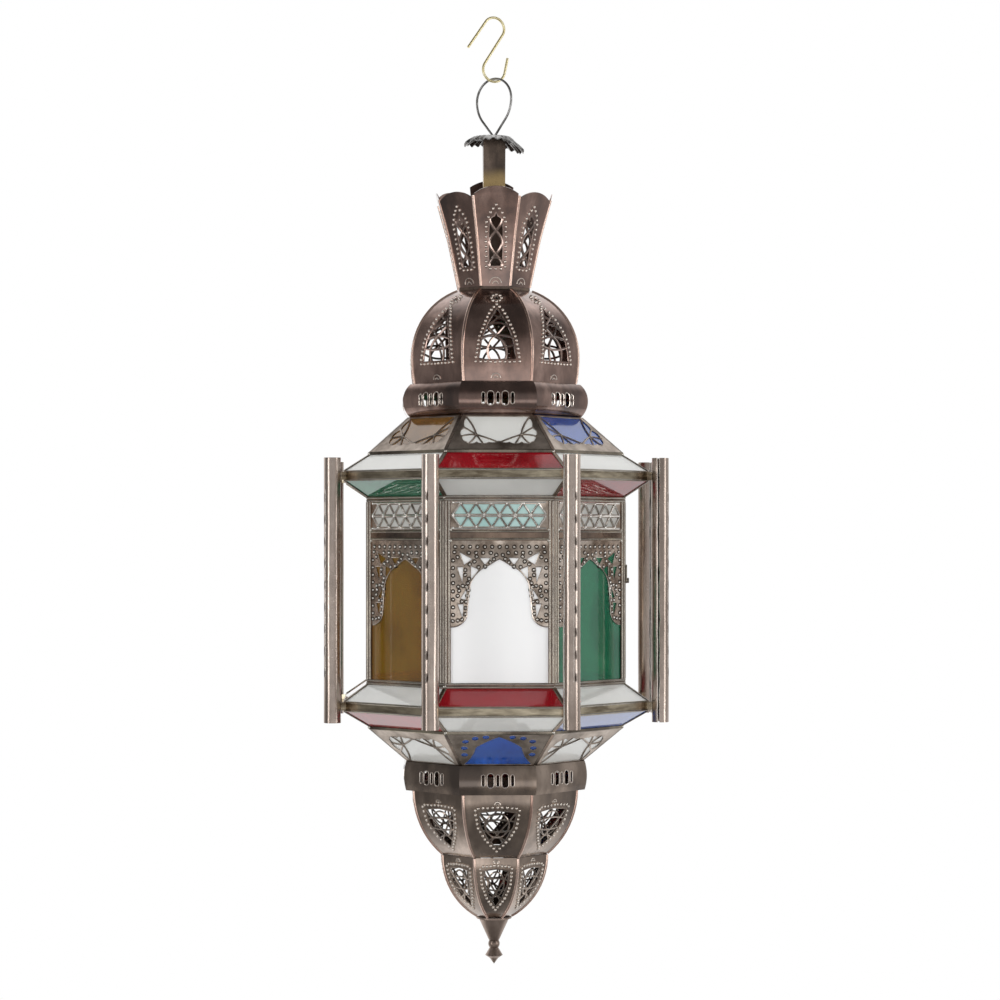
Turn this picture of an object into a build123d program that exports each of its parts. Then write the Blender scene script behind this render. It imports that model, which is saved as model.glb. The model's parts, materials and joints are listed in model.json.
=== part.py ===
from build123d import *

import math
import os

# A hanging fanous lantern of pierced sheet metal and coloured glass, eight-sided all the way down.
# Millimetres, +Z up. The origin is where the lantern hangs: the inside top of the hook's upper bend.
# Every face piece is drawn looking along +X and then turned to its faces. Face 0 is the front,
# which looks along -Y, and the count goes anticlockwise seen from above. Face 2 is the door.

# Sheet, glass and joints
sides = 8
sheet = 0.8
fret = 0.6
glass = 2.0
came_half = 1.2
rib_half = 1.0
rib_proud = 0.8
solder = 0.15
rest_gap = 0.3

# Hook, bent from one wire
hook_wire = 2.0
hook_top_bend = 8.4
hook_low_bend = 9.0
hook_pitch = 31.9
hook_top_leg = 25.5
hook_top_leg_angle = 145
hook_low_leg = 12.0
hook_low_leg_angle = -12
hook_yaw = 20

# Hanging loop, one wire whose two ends pass down through the stem's top and spread like a split pin
loop_wire = 1.8
loop_bend = 16.6
loop_side_bend = 24.0
loop_side_angle = 40
loop_exit_bend = 3.0
loop_foot_bend = 1.6
loop_foot_reach = 6.5
loop_leg_offset = 1.05
loop_yaw = -40
loop_hole = 2.4

# Drip cap and stem
cap_radius = 23.5
cap_crown_radius = 13.0
cap_drop = 11.0
cap_flutes = 24
cap_flute_radius = 1.9
stem_top_width = 17.0
stem_foot_width = 15.5
stem_length = 116.85
stem_plate = 1.0

# Crown of petals on the neck plate
neck_apothem = 27.0
neck_height = 6.0
crown_rim_apothem = 46.0
crown_waist_apothem = 33.9
crown_waist_height = 34.0
crown_corner_height = 68.0
petal_arch = 6.0
petal_trim = 3.0
near_petal_rise = -3.0
side_petal_rise = 5.0
rear_petal_rise = 17.0

# Dome
dome_set_down = 2.0
dome_height = 72.5
dome_shoulder_apothem = 49.4
dome_shoulder_drop = 15.0
dome_belly_apothem = 63.2
dome_belly_rise = 17.5
dome_tuck_apothem = 62.6
dome_tuck_rise = 8.5
dome_foot_apothem = 61.4

# Upper and lower collars
collar_flange_apothem = 59.0
upper_collar_height = 25.4
upper_collar_lip_apothem = 64.5
upper_collar_apothem = 70.2
lower_collar_height = 21.8
lower_collar_lip_apothem = 67.8
lower_collar_apothem = 69.4
collar_slot_height = 10.4
collar_slot_width = 4.6
collar_lens_height = 8.4
collar_lens_width = 2.2
collar_slot_spacing = 5.45

# Glazed tiers
roof_top_apothem = 65.9
roof_height = 27.0
hip_inset = 1.5
hip_ring_height = 1.6
eave_height = 12.0
band_overhang = 17.0
band_height = 8.0
soffit_height = 11.5
ring_depth = 3.2
sill_height = 12.0
lower_soffit_height = 11.5
cone_height = 26.0
cone_foot_apothem = 66.0
came_proud = 0.6

# Glazed body
body_apothem = 97.5
post_flange = 4.8
frame_depth = 3.2
pane_setback = 1.2
rail_height = 4.0
frieze_height = 21.0
crossbar_height = 8.0
main_height = 104.0

# Bowl, pendant and finial
bowl_top_apothem = 62.2
bowl_mid_apothem = 55.6
bowl_mid_drop = 29.1
bowl_foot_apothem = 40.0
bowl_height = 50.1
pendant_mid_apothem = 33.2
pendant_mid_drop = 28.0
pendant_foot_apothem = 13.0
pendant_height = 50.0
finial_flange_radius = 13.6
finial_cone_radius = 11.7
finial_waist_radius = 4.0
finial_flange_height = 1.2
finial_cone_height = 18.0
knob_bead_radius = 4.4
knob_neck_radius = 3.3
knob_disc_radius = 6.7
knob_bead_drop = 3.0
knob_disc_drop = 11.7
knob_disc_half = 2.4
knob_height = 18.6

# Columns outside the corners
column_radius = 6.4
column_stand_off = 2.7
column_above_band = 9.5
column_below_band = 8.0
column_seam = 1.6
column_seam_angle = -87
column_slits = 9
column_slit_pitch = 16.3
column_slit_length = 6.5
column_slit_width = 1.2
column_first_slit = 30.0
lug_width = 4.0
lug_margin = 1.0

# Candle floor
floor_thickness = 1.0
cup_bore = 11.0
cup_wall = 1.2
cup_depth = 18.0
cup_base = 2.0

# Door in face 2, its hinges and its turn button
door_gap = 0.6
door_stile = 3.6
hinge_knuckle_radius = 1.6
hinge_pin_radius = 0.7
hinge_pin_clearance = 0.06
hinge_pin_head = 1.2
hinge_knuckle_length = 9.0
hinge_knuckle_gap = 0.3
hinge_leaf = 0.6
hinge_leaf_width = 3.4
hinge_inset = 18.0
latch_height = 74.0
latch_stud_radius = 1.2
latch_head_radius = 2.0
latch_head_height = 1.2
latch_clearance = 0.06
latch_stand_off = 0.4
latch_thickness = 1.0
latch_width = 4.4
latch_length = 12.0

# Pierced work
lattice_bar = 1.8
petal_window_base = 12.0
petal_window_apex = 56.0
petal_window_half = 5.0
petal_window_waist = 6.2
dome_window_base = 15.5
dome_window_apex = 62.0
dome_window_half = 16.0
dome_window_waist = 11.0
bowl_window_top = 11.6
bowl_window_point = 42.6
bowl_window_half = 15.0
bowl_window_waist = 11.5
pendant_window_top = 9.0
pendant_window_point = 40.0
pendant_window_half = 10.0
pendant_window_waist = 8.6
frieze_margin = 2.0
frieze_pitch = 11.4
frieze_triangle_base = 8.6
frieze_bar = 2.0
fret_cut = 4.0

# Roof opening, across the face and up the slope
roof_opening_half = 24.0
roof_opening_top = 38.5
roof_waist_half = 19.6
roof_waist_rise = 27.3
roof_knot_half = 18.3
roof_knot_rise = 16.2
roof_swag_half = 10.6
roof_swag_rise = 13.3
roof_point_rise = 7.8
roof_drawn_slope = 41.5
roof_slits = [
    [(-23.8, 32.0), (-25.6, 24.0), (-20.2, 20.0)],
    [(-27.0, 22.4), (-28.6, 17.6), (-21.0, 17.4)],
    [(-28.0, 15.2), (-24.6, 8.6), (-20.6, 15.0)],
    [(-22.6, 8.0), (-18.5, 14.2), (-14.6, 8.0)],
    [(-15.8, 13.8), (-12.6, 7.8), (-4.4, 7.8)],
]

# Cone opening, across the face and up the slope
cone_arch_half = 23.0
cone_arch_foot = 5.0
cone_waist_half = 18.4
cone_waist_rise = 13.0
cone_shoulder_half = 15.0
cone_shoulder_rise = 24.0
cone_point_rise = 33.0
cone_drawn_slope = 40.8
cone_slits = [
    [(-24.0, 33.5), (-25.0, 27.5), (-20.0, 31.0)],
    [(-25.0, 26.0), (-25.0, 20.0), (-19.5, 24.5)],
    [(-24.5, 18.5), (-24.5, 13.0), (-20.6, 18.0)],
    [(-17.5, 34.5), (-17.5, 30.5), (-11.0, 33.0)],
    [(-10.0, 35.5), (-10.5, 32.8), (-4.5, 35.0)],
]

# Arch of the wall frets, across the face and down from the crossbar
arch_point_drop = 13.3
arch_neck_half = 7.8
arch_neck_drop = 18.0
arch_haunch_half = 16.4
arch_haunch_drop = 23.6
arch_spring_half = 21.5
arch_spring_drop = 32.0
arch_leg_half = 24.0
arch_leg_drop = 55.5
arch_heel_half = 28.2
arch_heel_drop = 61.0
arch_foot_drop = 63.0
arch_drawn_half = 35.6
arch_slits = [
    [(-28.9, 8.7), (-20.6, 13.4), (-25.7, 17.0)],
    [(-14.0, 12.8), (-7.0, 12.8), (-10.6, 17.4)],
    [(-30.8, 19.8), (-26.6, 19.8), (-27.2, 29.6)],
    [(-20.8, 18.9), (-15.6, 21.4), (-20.6, 27.6)],
    [(-23.6, 34.3), (-24.8, 42.6), (-28.2, 41.9)],
    [(-30.4, 46.8), (-26.4, 46.8), (-27.0, 56.0)],
]

# Angles of the eight-sided plan
face_step = 360 / sides
corner_angle = face_step / 2
corner_tan = math.tan(math.radians(corner_angle))
corner_stretch = 1 / math.cos(math.radians(corner_angle))

# Widths that follow the glazed body
hip_ring_apothem = body_apothem - hip_inset
band_apothem = body_apothem + band_overhang
column_circle = band_apothem * corner_stretch + column_stand_off + column_radius

# Heights from the hook down
z_top_bend = -(hook_top_bend - hook_wire / 2)
z_low_bend = z_top_bend - hook_pitch
z_seat = z_low_bend - (hook_low_bend - hook_wire / 2)
loop_side = math.radians(loop_side_angle)
loop_turn = loop_exit_bend + loop_side_bend
loop_leg = (loop_bend - loop_leg_offset - loop_turn * (1 - math.cos(loop_side))) / math.sin(loop_side)
loop_rise = loop_turn * math.sin(loop_side) + loop_leg * math.cos(loop_side) + loop_bend
z_loop_top = z_seat + rest_gap + loop_wire / 2
z_cap = z_loop_top - loop_rise
z_stem = z_cap - sheet
z_foot_wire = z_stem - stem_plate - rest_gap - loop_wire / 2
z_neck = z_stem - stem_length
z_dome = z_neck - dome_set_down
z_upper_collar = z_dome - dome_height
z_roof = z_upper_collar - upper_collar_height
z_hip = z_roof - roof_height
z_eave = z_hip - hip_ring_height
z_band = z_eave - eave_height
z_soffit = z_band - band_height
z_body = z_soffit - soffit_height
z_frieze = z_body - rail_height
z_crossbar = z_frieze - frieze_height
z_main = z_crossbar - crossbar_height
z_bottom_rail = z_main - main_height
z_sill = z_bottom_rail - rail_height
z_lower_band = z_sill - sill_height
z_lower_soffit = z_lower_band - band_height
z_lower_hip = z_lower_soffit - lower_soffit_height
z_cone = z_lower_hip - hip_ring_height
z_lower_collar = z_cone - cone_height
z_bowl = z_lower_collar - lower_collar_height
z_pendant = z_bowl - bowl_height
z_finial = z_pendant - pendant_height
z_knob = z_finial - finial_cone_height

# Widths of the glazed body
corner_y = body_apothem * corner_tan
clear_half = corner_y - post_flange
pane_outside = body_apothem - pane_setback
pane_middle = pane_outside - glass / 2
fret_middle = pane_outside + fret / 2

# Faces that share a colour of glass
all_faces = range(sides)
even_faces = (0, 2, 4, 6)
odd_faces = (1, 3, 5, 7)
blue_faces = (1, 5)
amber_faces = (3, 7)
door_face = 2
fixed_faces = [face for face in all_faces if face != door_face]


def on_faces(faces):
    """Turn what follows from +X to each of the given faces."""
    return Locations(*[Location((0, 0, 0), (0, 0, face_step * face - 90)) for face in faces])


def on_corners():
    """Turn what follows from +X to each of the eight corners."""
    return PolarLocations(0, sides, start_angle=corner_angle)


def trim_to_face(gap):
    """Cut the piece back from the two corner planes of its face, leaving the gap on each side."""
    for side in (1, -1):
        turn = math.radians(side * (90 + corner_angle))
        outward = Vector(math.cos(turn), math.sin(turn), 0)
        split(bisect_by=Plane(origin=outward * -gap, z_dir=outward), keep=Keep.BOTTOM)


def face_prism(corners, gap):
    """One face piece of the given section, which runs from corner to corner less the gap."""
    with BuildPart() as piece:
        with BuildSketch(Plane.XZ):
            Polygon(*corners, align=None)
        extrude(amount=column_circle, both=True)
        trim_to_face(gap)
    return piece.part


def draw_wall(curve, thickness, shift=0, stretch=1):
    """Draw a sheet's section: arcs through the points, top to bottom, thickened towards the axis."""
    points = [((apothem + shift) * stretch, height) for apothem, height in curve]
    with BuildLine() as wall:
        for first in range(0, len(points) - 2, 2):
            ThreePointArc(points[first], points[first + 1], points[first + 2])
        offset(amount=thickness, side=Side.RIGHT)
    make_face(wall.edges())


def pierce_window(base, apex, half_width, waist):
    """Cut a pointed window with a crossed lattice through the face that looks along +X."""
    middle = (base + apex) / 2
    crossing = base + (apex - base) / 3
    with BuildSketch(Plane.YZ) as window:
        with BuildLine():
            Line((-half_width, base), (half_width, base))
            ThreePointArc((half_width, base), (waist, middle), (0, apex))
            ThreePointArc((0, apex), (-waist, middle), (-half_width, base))
        make_face()
        with Locations((0, crossing)):
            for turn in (0, 45, -45):
                Rectangle(abs(apex - base) * 2, lattice_bar, rotation=turn, mode=Mode.SUBTRACT)
    extrude(window.sketch, amount=column_circle, mode=Mode.SUBTRACT)


def corner_ribs(curve):
    """Beaded strips that cover the joints between curved sheets, one at each corner."""
    with BuildPart() as rib:
        with BuildSketch(Plane.XZ):
            draw_wall(curve, sheet + rib_proud, rib_proud, corner_stretch)
        extrude(amount=rib_half, both=True)
    with BuildPart() as ribs:
        with on_corners():
            add(rib.part)
    return ribs


def octagon_ring(apothem, depth):
    """Draw an eight-sided ring in the open sketch."""
    RegularPolygon(apothem, sides, major_radius=False, rotation=corner_angle)
    RegularPolygon(apothem - depth, sides, major_radius=False, rotation=corner_angle, mode=Mode.SUBTRACT)


def slant(top, foot, z_top, z_foot, thickness):
    """Section of a slanting pane with level edges. top and foot are outside apothems."""
    level_width = thickness * math.hypot(foot - top, z_top - z_foot) / (z_top - z_foot)
    return [(top, z_top), (foot, z_foot), (foot - level_width, z_foot), (top - level_width, z_top)]


def slant_plane(top, foot, z_top, z_foot):
    """Plane on a slanting pane's outside: x runs along the face, y up the slope from the foot."""
    up = Vector(top - foot, 0, z_top - z_foot).normalized()
    along = Vector(0, 1, 0)
    return Plane(origin=(foot, 0, z_foot), x_dir=along, z_dir=along.cross(up))


def on_side(side, point):
    """A point drawn on the right, or its mirror image on the left."""
    across, rise = point
    return (side * across, rise)


def both_hands(outline):
    """The outline as drawn on the left, and its mirror image on the right."""
    return [outline, [(-x, y) for x, y in outline]]


def save(builder, name):
    """Label a finished piece and write it."""
    builder.part.label = name
    export_step(builder.part, f"parts/{name}.step")


os.makedirs("parts", exist_ok=True)

# Hook: an S of wire, whose upper bend hangs on the ceiling chain
hook_turn = math.radians(hook_yaw)
hook_plane = Plane(
    origin=(0, 0, 0),
    x_dir=(math.cos(hook_turn), math.sin(hook_turn), 0),
    z_dir=(math.sin(hook_turn), -math.cos(hook_turn), 0),
)
shank_lean = math.degrees(math.asin((hook_top_bend + hook_low_bend) / hook_pitch))
with BuildPart() as s_hook:
    with BuildLine(hook_plane) as hook_path:
        top_arc = CenterArc(
            (0, z_top_bend), hook_top_bend, hook_top_leg_angle, -hook_top_leg_angle - shank_lean
        )
        low_arc = CenterArc(
            (0, z_low_bend), hook_low_bend, 180 - shank_lean, 180 + shank_lean + hook_low_leg_angle
        )
        leg_turn = math.radians(hook_top_leg_angle)
        top_leg_end = (
            (hook_top_bend * math.cos(leg_turn) - hook_top_leg * math.sin(leg_turn)),
            z_top_bend + hook_top_bend * math.sin(leg_turn) + hook_top_leg * math.cos(leg_turn),
        )
        tip_turn = math.radians(hook_low_leg_angle)
        low_leg_end = (
            hook_low_bend * math.cos(tip_turn) - hook_low_leg * math.sin(tip_turn),
            z_low_bend + hook_low_bend * math.sin(tip_turn) + hook_low_leg * math.cos(tip_turn),
        )
        top_start = (
            hook_top_bend * math.cos(leg_turn),
            z_top_bend + hook_top_bend * math.sin(leg_turn),
        )
        Line(top_leg_end, top_start)
        lean = math.radians(shank_lean)
        Line(
            (hook_top_bend * math.cos(lean), z_top_bend - hook_top_bend * math.sin(lean)),
            (-hook_low_bend * math.cos(lean), z_low_bend + hook_low_bend * math.sin(lean)),
        )
        low_end = (
            hook_low_bend * math.cos(tip_turn),
            z_low_bend + hook_low_bend * math.sin(tip_turn),
        )
        Line(low_end, low_leg_end)
    hook_wire_path = hook_path.wires()[0]
    with BuildSketch(Plane(origin=hook_wire_path @ 0, z_dir=hook_wire_path % 0)):
        Circle(hook_wire / 2)
    sweep(path=hook_wire_path)
save(s_hook, "s_hook")

# Hanging loop: from one foot up through the stem's top, round the bend and down to the other foot
loop_yaw_angle = math.radians(loop_yaw)
loop_plane = Plane(
    origin=(0, 0, 0),
    x_dir=(math.cos(loop_yaw_angle), math.sin(loop_yaw_angle), 0),
    z_dir=(math.sin(loop_yaw_angle), -math.cos(loop_yaw_angle), 0),
)
with BuildPart() as hanging_loop:
    with BuildLine() as loop_path:
        foot = Line((-loop_foot_reach, z_foot_wire), (-loop_leg_offset - loop_foot_bend, z_foot_wire))
        turn_up = JernArc(foot @ 1, (1, 0), loop_foot_bend, 90)
        riser = Line(turn_up @ 1, (-loop_leg_offset, z_cap))
        spread = JernArc(riser @ 1, (0, 1), loop_exit_bend, loop_side_angle)
        leg = Line(spread @ 1, spread @ 1 + (spread % 1) * loop_leg)
        side = JernArc(leg @ 1, leg % 1, loop_side_bend, -loop_side_angle)
        JernArc(side @ 1, (0, 1), loop_bend, -90)
        mirror(about=Plane.YZ)
    loop_wire_path = loop_plane.from_local_coords(loop_path.wires()[0])
    with BuildSketch(Plane(origin=loop_wire_path @ 0, z_dir=loop_wire_path % 0)):
        Circle(loop_wire / 2)
    sweep(path=loop_wire_path)
save(hanging_loop, "hanging_loop")

# Drip cap: a shallow dished disc with a crimped edge
with BuildPart() as drip_cap:
    with BuildSketch(Plane.XZ):
        with BuildLine():
            dish = Polyline(
                (loop_hole, z_cap),
                (cap_crown_radius, z_cap),
                (cap_radius, z_cap - cap_drop + sheet),
            )
            offset(amount=sheet, side=Side.RIGHT)
        make_face()
    revolve(axis=Axis.Z)
    with PolarLocations(cap_radius + sheet, cap_flutes):
        Cylinder(cap_flute_radius, 4 * cap_drop, mode=Mode.SUBTRACT)
    with Locations((0, 0, z_cap)):
        Cylinder(loop_hole, 4 * sheet, mode=Mode.SUBTRACT)
save(drip_cap, "drip_cap")

# Stem: a tapering four-sided tube, closed by a plate at the top
with BuildPart() as stem:
    with BuildSketch(Plane.XY.offset(z_stem)):
        Rectangle(stem_top_width, stem_top_width)
    with BuildSketch(Plane.XY.offset(z_neck)):
        Rectangle(stem_foot_width, stem_foot_width)
    loft()
    with BuildSketch(Plane.XY.offset(z_stem - stem_plate)):
        Rectangle(stem_top_width - 2 * sheet, stem_top_width - 2 * sheet)
    with BuildSketch(Plane.XY.offset(z_neck)):
        Rectangle(stem_foot_width - 2 * sheet, stem_foot_width - 2 * sheet)
    loft(mode=Mode.SUBTRACT)
    with Locations((0, 0, z_stem)):
        Cylinder(loop_hole, 4 * stem_plate, mode=Mode.SUBTRACT)
save(stem, "stem")

# Neck plate: an eight-sided pan, which carries the stem and the crown
with BuildPart() as neck_plate:
    with BuildSketch(Plane.XY.offset(z_neck - sheet)):
        RegularPolygon(neck_apothem, sides, major_radius=False, rotation=corner_angle)
    extrude(amount=sheet)
    with BuildSketch(Plane.XY.offset(z_neck - neck_height)):
        octagon_ring(neck_apothem, sheet)
    extrude(amount=neck_height)
save(neck_plate, "neck_plate")


def crown_curve(rise):
    """A petal's outside, from a little above its tip to the neck plate."""
    return [
        (crown_rim_apothem, z_neck + crown_corner_height + petal_arch + petal_trim + rise),
        (crown_waist_apothem, z_neck + crown_waist_height),
        (neck_apothem, z_neck + solder),
    ]


def crown_petal(rise):
    """One flared petal with an arched tip and a tall pierced window."""
    z_corner = z_neck + crown_corner_height + rise
    corner_half = crown_rim_apothem * corner_tan
    with BuildPart() as petal:
        with BuildSketch(Plane.XZ):
            draw_wall(crown_curve(rise), sheet)
        extrude(amount=crown_rim_apothem, both=True)
        trim_to_face(rib_half)
        with BuildSketch(Plane.YZ):
            with BuildLine():
                Polyline(
                    (corner_half, z_corner),
                    (corner_half, z_neck),
                    (-corner_half, z_neck),
                    (-corner_half, z_corner),
                )
                ThreePointArc(
                    (-corner_half, z_corner), (0, z_corner + petal_arch), (corner_half, z_corner)
                )
            make_face()
        extrude(amount=column_circle, mode=Mode.INTERSECT)
        pierce_window(
            z_neck + petal_window_base, z_neck + petal_window_apex, petal_window_half, petal_window_waist
        )
    return petal.part


# Crown: eight petals, the rear ones taller, with ribs over their joints
petal_rises = {
    1: near_petal_rise,
    3: side_petal_rise,
    4: rear_petal_rise,
    5: side_petal_rise,
    7: near_petal_rise,
}
petals = [crown_petal(petal_rises.get(face, 0)) for face in all_faces]
with BuildPart() as crown_petals:
    for face in all_faces:
        with on_faces([face]):
            add(petals[face])
save(crown_petals, "crown_petals")

rib_top_drop = petal_arch + petal_trim + rib_proud
crown_ribs = corner_ribs(crown_curve(-rib_top_drop))
save(crown_ribs, "crown_ribs")

# Dome: eight bulging gores with pierced windows
dome_curve = [
    (neck_apothem + solder + sheet, z_dome),
    (dome_shoulder_apothem, z_dome - dome_shoulder_drop),
    (dome_belly_apothem, z_upper_collar + dome_belly_rise),
    (dome_tuck_apothem, z_upper_collar + dome_tuck_rise),
    (dome_foot_apothem, z_upper_collar + solder),
]
with BuildPart() as dome_gore:
    with BuildSketch(Plane.XZ):
        draw_wall(dome_curve, sheet)
    extrude(amount=dome_belly_apothem, both=True)
    trim_to_face(rib_half)
    pierce_window(
        z_upper_collar + dome_window_base,
        z_upper_collar + dome_window_apex,
        dome_window_half,
        dome_window_waist,
    )
with BuildPart() as dome_gores:
    with on_faces(all_faces):
        add(dome_gore.part)
save(dome_gores, "dome_gores")
dome_ribs = corner_ribs(dome_curve)
save(dome_ribs, "dome_ribs")


def collar(z_top, height, lip, belly):
    """A bulging eight-sided collar with turned-in flanges and a group of slots on each face."""
    z_middle = z_top - height / 2
    with BuildPart() as segment:
        with BuildSketch(Plane.XZ):
            with BuildLine():
                Line((lip, z_top), (collar_flange_apothem, z_top))
                Line((collar_flange_apothem, z_top), (collar_flange_apothem, z_top - height))
                Line((collar_flange_apothem, z_top - height), (lip, z_top - height))
                ThreePointArc((lip, z_top - height), (belly, z_middle), (lip, z_top))
            make_face()
            with BuildLine():
                inner_top = z_top - sheet
                inner_foot = z_top - height + sheet
                behind = collar_flange_apothem - sheet
                Polyline((lip - sheet, inner_top), (behind, inner_top), (behind, inner_foot), (lip - sheet, inner_foot))
                ThreePointArc((lip - sheet, inner_foot), (belly - sheet, z_middle), (lip - sheet, inner_top))
            make_face(mode=Mode.SUBTRACT)
        extrude(amount=belly, both=True)
        trim_to_face(0)
        with BuildSketch(Plane.YZ):
            for step in (-1, 1):
                with Locations((step * collar_slot_spacing, z_middle)):
                    SlotOverall(collar_slot_height, collar_slot_width, rotation=90)
            for step in (-2, 0, 2):
                with Locations((step * collar_slot_spacing, z_middle)):
                    SlotOverall(collar_lens_height, collar_lens_width, rotation=90)
        extrude(amount=column_circle, mode=Mode.SUBTRACT)
    with BuildPart() as ring:
        with on_faces(all_faces):
            add(segment.part)
    return ring


upper_collar = collar(z_upper_collar, upper_collar_height, upper_collar_lip_apothem, upper_collar_apothem)
save(upper_collar, "upper_collar")
lower_collar = collar(z_lower_collar, lower_collar_height, lower_collar_lip_apothem, lower_collar_apothem)
save(lower_collar, "lower_collar")

# Bowl and pendant: gores that close the lantern below
bowl_curve = [
    (bowl_top_apothem, z_bowl - solder),
    (bowl_mid_apothem, z_bowl - bowl_mid_drop),
    (bowl_foot_apothem, z_pendant + solder),
]
pendant_curve = [
    (bowl_foot_apothem, z_pendant - solder),
    (pendant_mid_apothem, z_pendant - pendant_mid_drop),
    (pendant_foot_apothem, z_finial + sheet),
]
with BuildPart() as bowl_gore:
    with BuildSketch(Plane.XZ):
        draw_wall(bowl_curve, sheet)
    extrude(amount=bowl_top_apothem, both=True)
    trim_to_face(rib_half)
    pierce_window(z_bowl - bowl_window_top, z_bowl - bowl_window_point, bowl_window_half, bowl_window_waist)
with BuildPart() as bowl_gores:
    with on_faces(all_faces):
        add(bowl_gore.part)
save(bowl_gores, "bowl_gores")
bowl_ribs = corner_ribs(bowl_curve)
save(bowl_ribs, "bowl_ribs")

with BuildPart() as pendant_gore:
    with BuildSketch(Plane.XZ):
        draw_wall(pendant_curve, sheet)
    extrude(amount=bowl_foot_apothem, both=True)
    trim_to_face(rib_half)
    pierce_window(
        z_pendant - pendant_window_top,
        z_pendant - pendant_window_point,
        pendant_window_half,
        pendant_window_waist,
    )
with BuildPart() as pendant_gores:
    with on_faces(all_faces):
        add(pendant_gore.part)
save(pendant_gores, "pendant_gores")
pendant_ribs = corner_ribs(pendant_curve)
save(pendant_ribs, "pendant_ribs")

# Finial: a spun cone and a turned knob
with BuildPart() as finial_cone:
    with BuildSketch(Plane.XZ):
        Polygon(
            (0, z_finial),
            (finial_flange_radius, z_finial),
            (finial_flange_radius, z_finial - finial_flange_height),
            (finial_cone_radius, z_finial - finial_flange_height),
            (finial_waist_radius, z_knob),
            (0, z_knob),
            align=None,
        )
    revolve(axis=Axis.Z)
save(finial_cone, "finial_cone")

bead_foot = z_knob - 2 * knob_bead_drop
disc_middle = z_knob - knob_disc_drop
with BuildPart() as finial_knob:
    with BuildSketch(Plane.XZ):
        with BuildLine():
            Line((0, z_knob), (knob_neck_radius, z_knob))
            ThreePointArc(
                (knob_neck_radius, z_knob), (knob_bead_radius, z_knob - knob_bead_drop), (knob_neck_radius, bead_foot)
            )
            Polyline(
                (knob_neck_radius, bead_foot),
                (knob_disc_radius, disc_middle),
                (knob_neck_radius, disc_middle - knob_disc_half),
                (0, z_knob - knob_height),
                (0, z_knob),
            )
        make_face()
    revolve(axis=Axis.Z)
save(finial_knob, "finial_knob")


def corner_cames(top, foot, z_top, z_foot):
    """The section of the strip that joins two slanting panes at a corner."""
    return [
        (apothem * corner_stretch, height)
        for apothem, height in slant(top + came_proud, foot + came_proud, z_top, z_foot, glass + came_proud)
    ]


def came_node(tiers):
    """Strips at all eight corners of the given tiers."""
    with BuildPart() as strips:
        for tier in tiers:
            with BuildSketch(Plane.XZ):
                Polygon(*corner_cames(*tier), align=None)
        extrude(amount=came_half, both=True)
    with BuildPart() as cames:
        with on_corners():
            add(strips.part)
    return cames


def tier_pane(tier):
    """One slanting pane, cut back from the corner strips."""
    return face_prism(slant(*tier, glass), came_half)


def tier_fret(tier):
    """A sheet lying on the outside of a slanting pane, not yet pierced."""
    top, foot, z_top, z_foot = tier
    level_width = fret * math.hypot(foot - top, z_top - z_foot) / (z_top - z_foot)
    return face_prism(slant(top + level_width, foot + level_width, z_top, z_foot, fret), came_half)


def slope_stretch(tier, drawn_slope):
    """How much longer a tier's slope is than the one its fret was drawn for."""
    top, foot, z_top, z_foot = tier
    return math.hypot(foot - top, z_top - z_foot) / drawn_slope


def up_slope(points, stretch):
    """A fret's drawing, stretched up the slope."""
    return [(across, rise * stretch) for across, rise in points]


def glaze(name, panes_and_faces):
    """Write one colour of glass: each pane on its faces."""
    with BuildPart() as glazing:
        for pane, faces in panes_and_faces:
            with on_faces(faces):
                add(pane)
    save(glazing, name)


# Glazed tiers, as outside apothem at top and foot, then height at top and foot
hip_apothem = hip_ring_apothem - came_proud
rim_apothem = band_apothem - came_proud
wall_apothem = body_apothem - came_proud
roof_tier = (roof_top_apothem, hip_apothem, z_roof, z_hip)
eave_tier = (hip_apothem, rim_apothem, z_eave, z_band)
soffit_tier = (rim_apothem, wall_apothem, z_soffit, z_body)
sill_tier = (wall_apothem, rim_apothem, z_sill, z_lower_band)
lower_soffit_tier = (rim_apothem, hip_apothem, z_lower_soffit, z_lower_hip)
cone_tier = (hip_apothem, cone_foot_apothem, z_cone, z_lower_collar)

upper_cames = came_node([roof_tier, eave_tier, soffit_tier])
save(upper_cames, "upper_cames")
lower_cames = came_node([sill_tier, lower_soffit_tier, cone_tier])
save(lower_cames, "lower_cames")

# Glass of the tiers
roof_pane = tier_pane(roof_tier)
eave_pane = tier_pane(eave_tier)
soffit_pane = tier_pane(soffit_tier)
sill_pane = tier_pane(sill_tier)
lower_soffit_pane = tier_pane(lower_soffit_tier)
cone_pane = tier_pane(cone_tier)
glaze("roof_panes_white", [(roof_pane, even_faces)])
glaze("roof_panes_blue", [(roof_pane, blue_faces)])
glaze("roof_panes_amber", [(roof_pane, amber_faces)])
glaze("eave_panes_red", [(eave_pane, even_faces), (soffit_pane, blue_faces)])
glaze("eave_panes_white", [(eave_pane, odd_faces), (soffit_pane, even_faces)])
glaze("eave_panes_green", [(soffit_pane, amber_faces)])
glaze("sill_panes_red", [(sill_pane, even_faces), (lower_soffit_pane, amber_faces)])
glaze("sill_panes_white", [(sill_pane, odd_faces), (lower_soffit_pane, even_faces)])
glaze("sill_panes_blue", [(lower_soffit_pane, blue_faces)])
glaze("cone_panes_blue", [(cone_pane, even_faces)])
glaze("cone_panes_white", [(cone_pane, odd_faces)])

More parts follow.
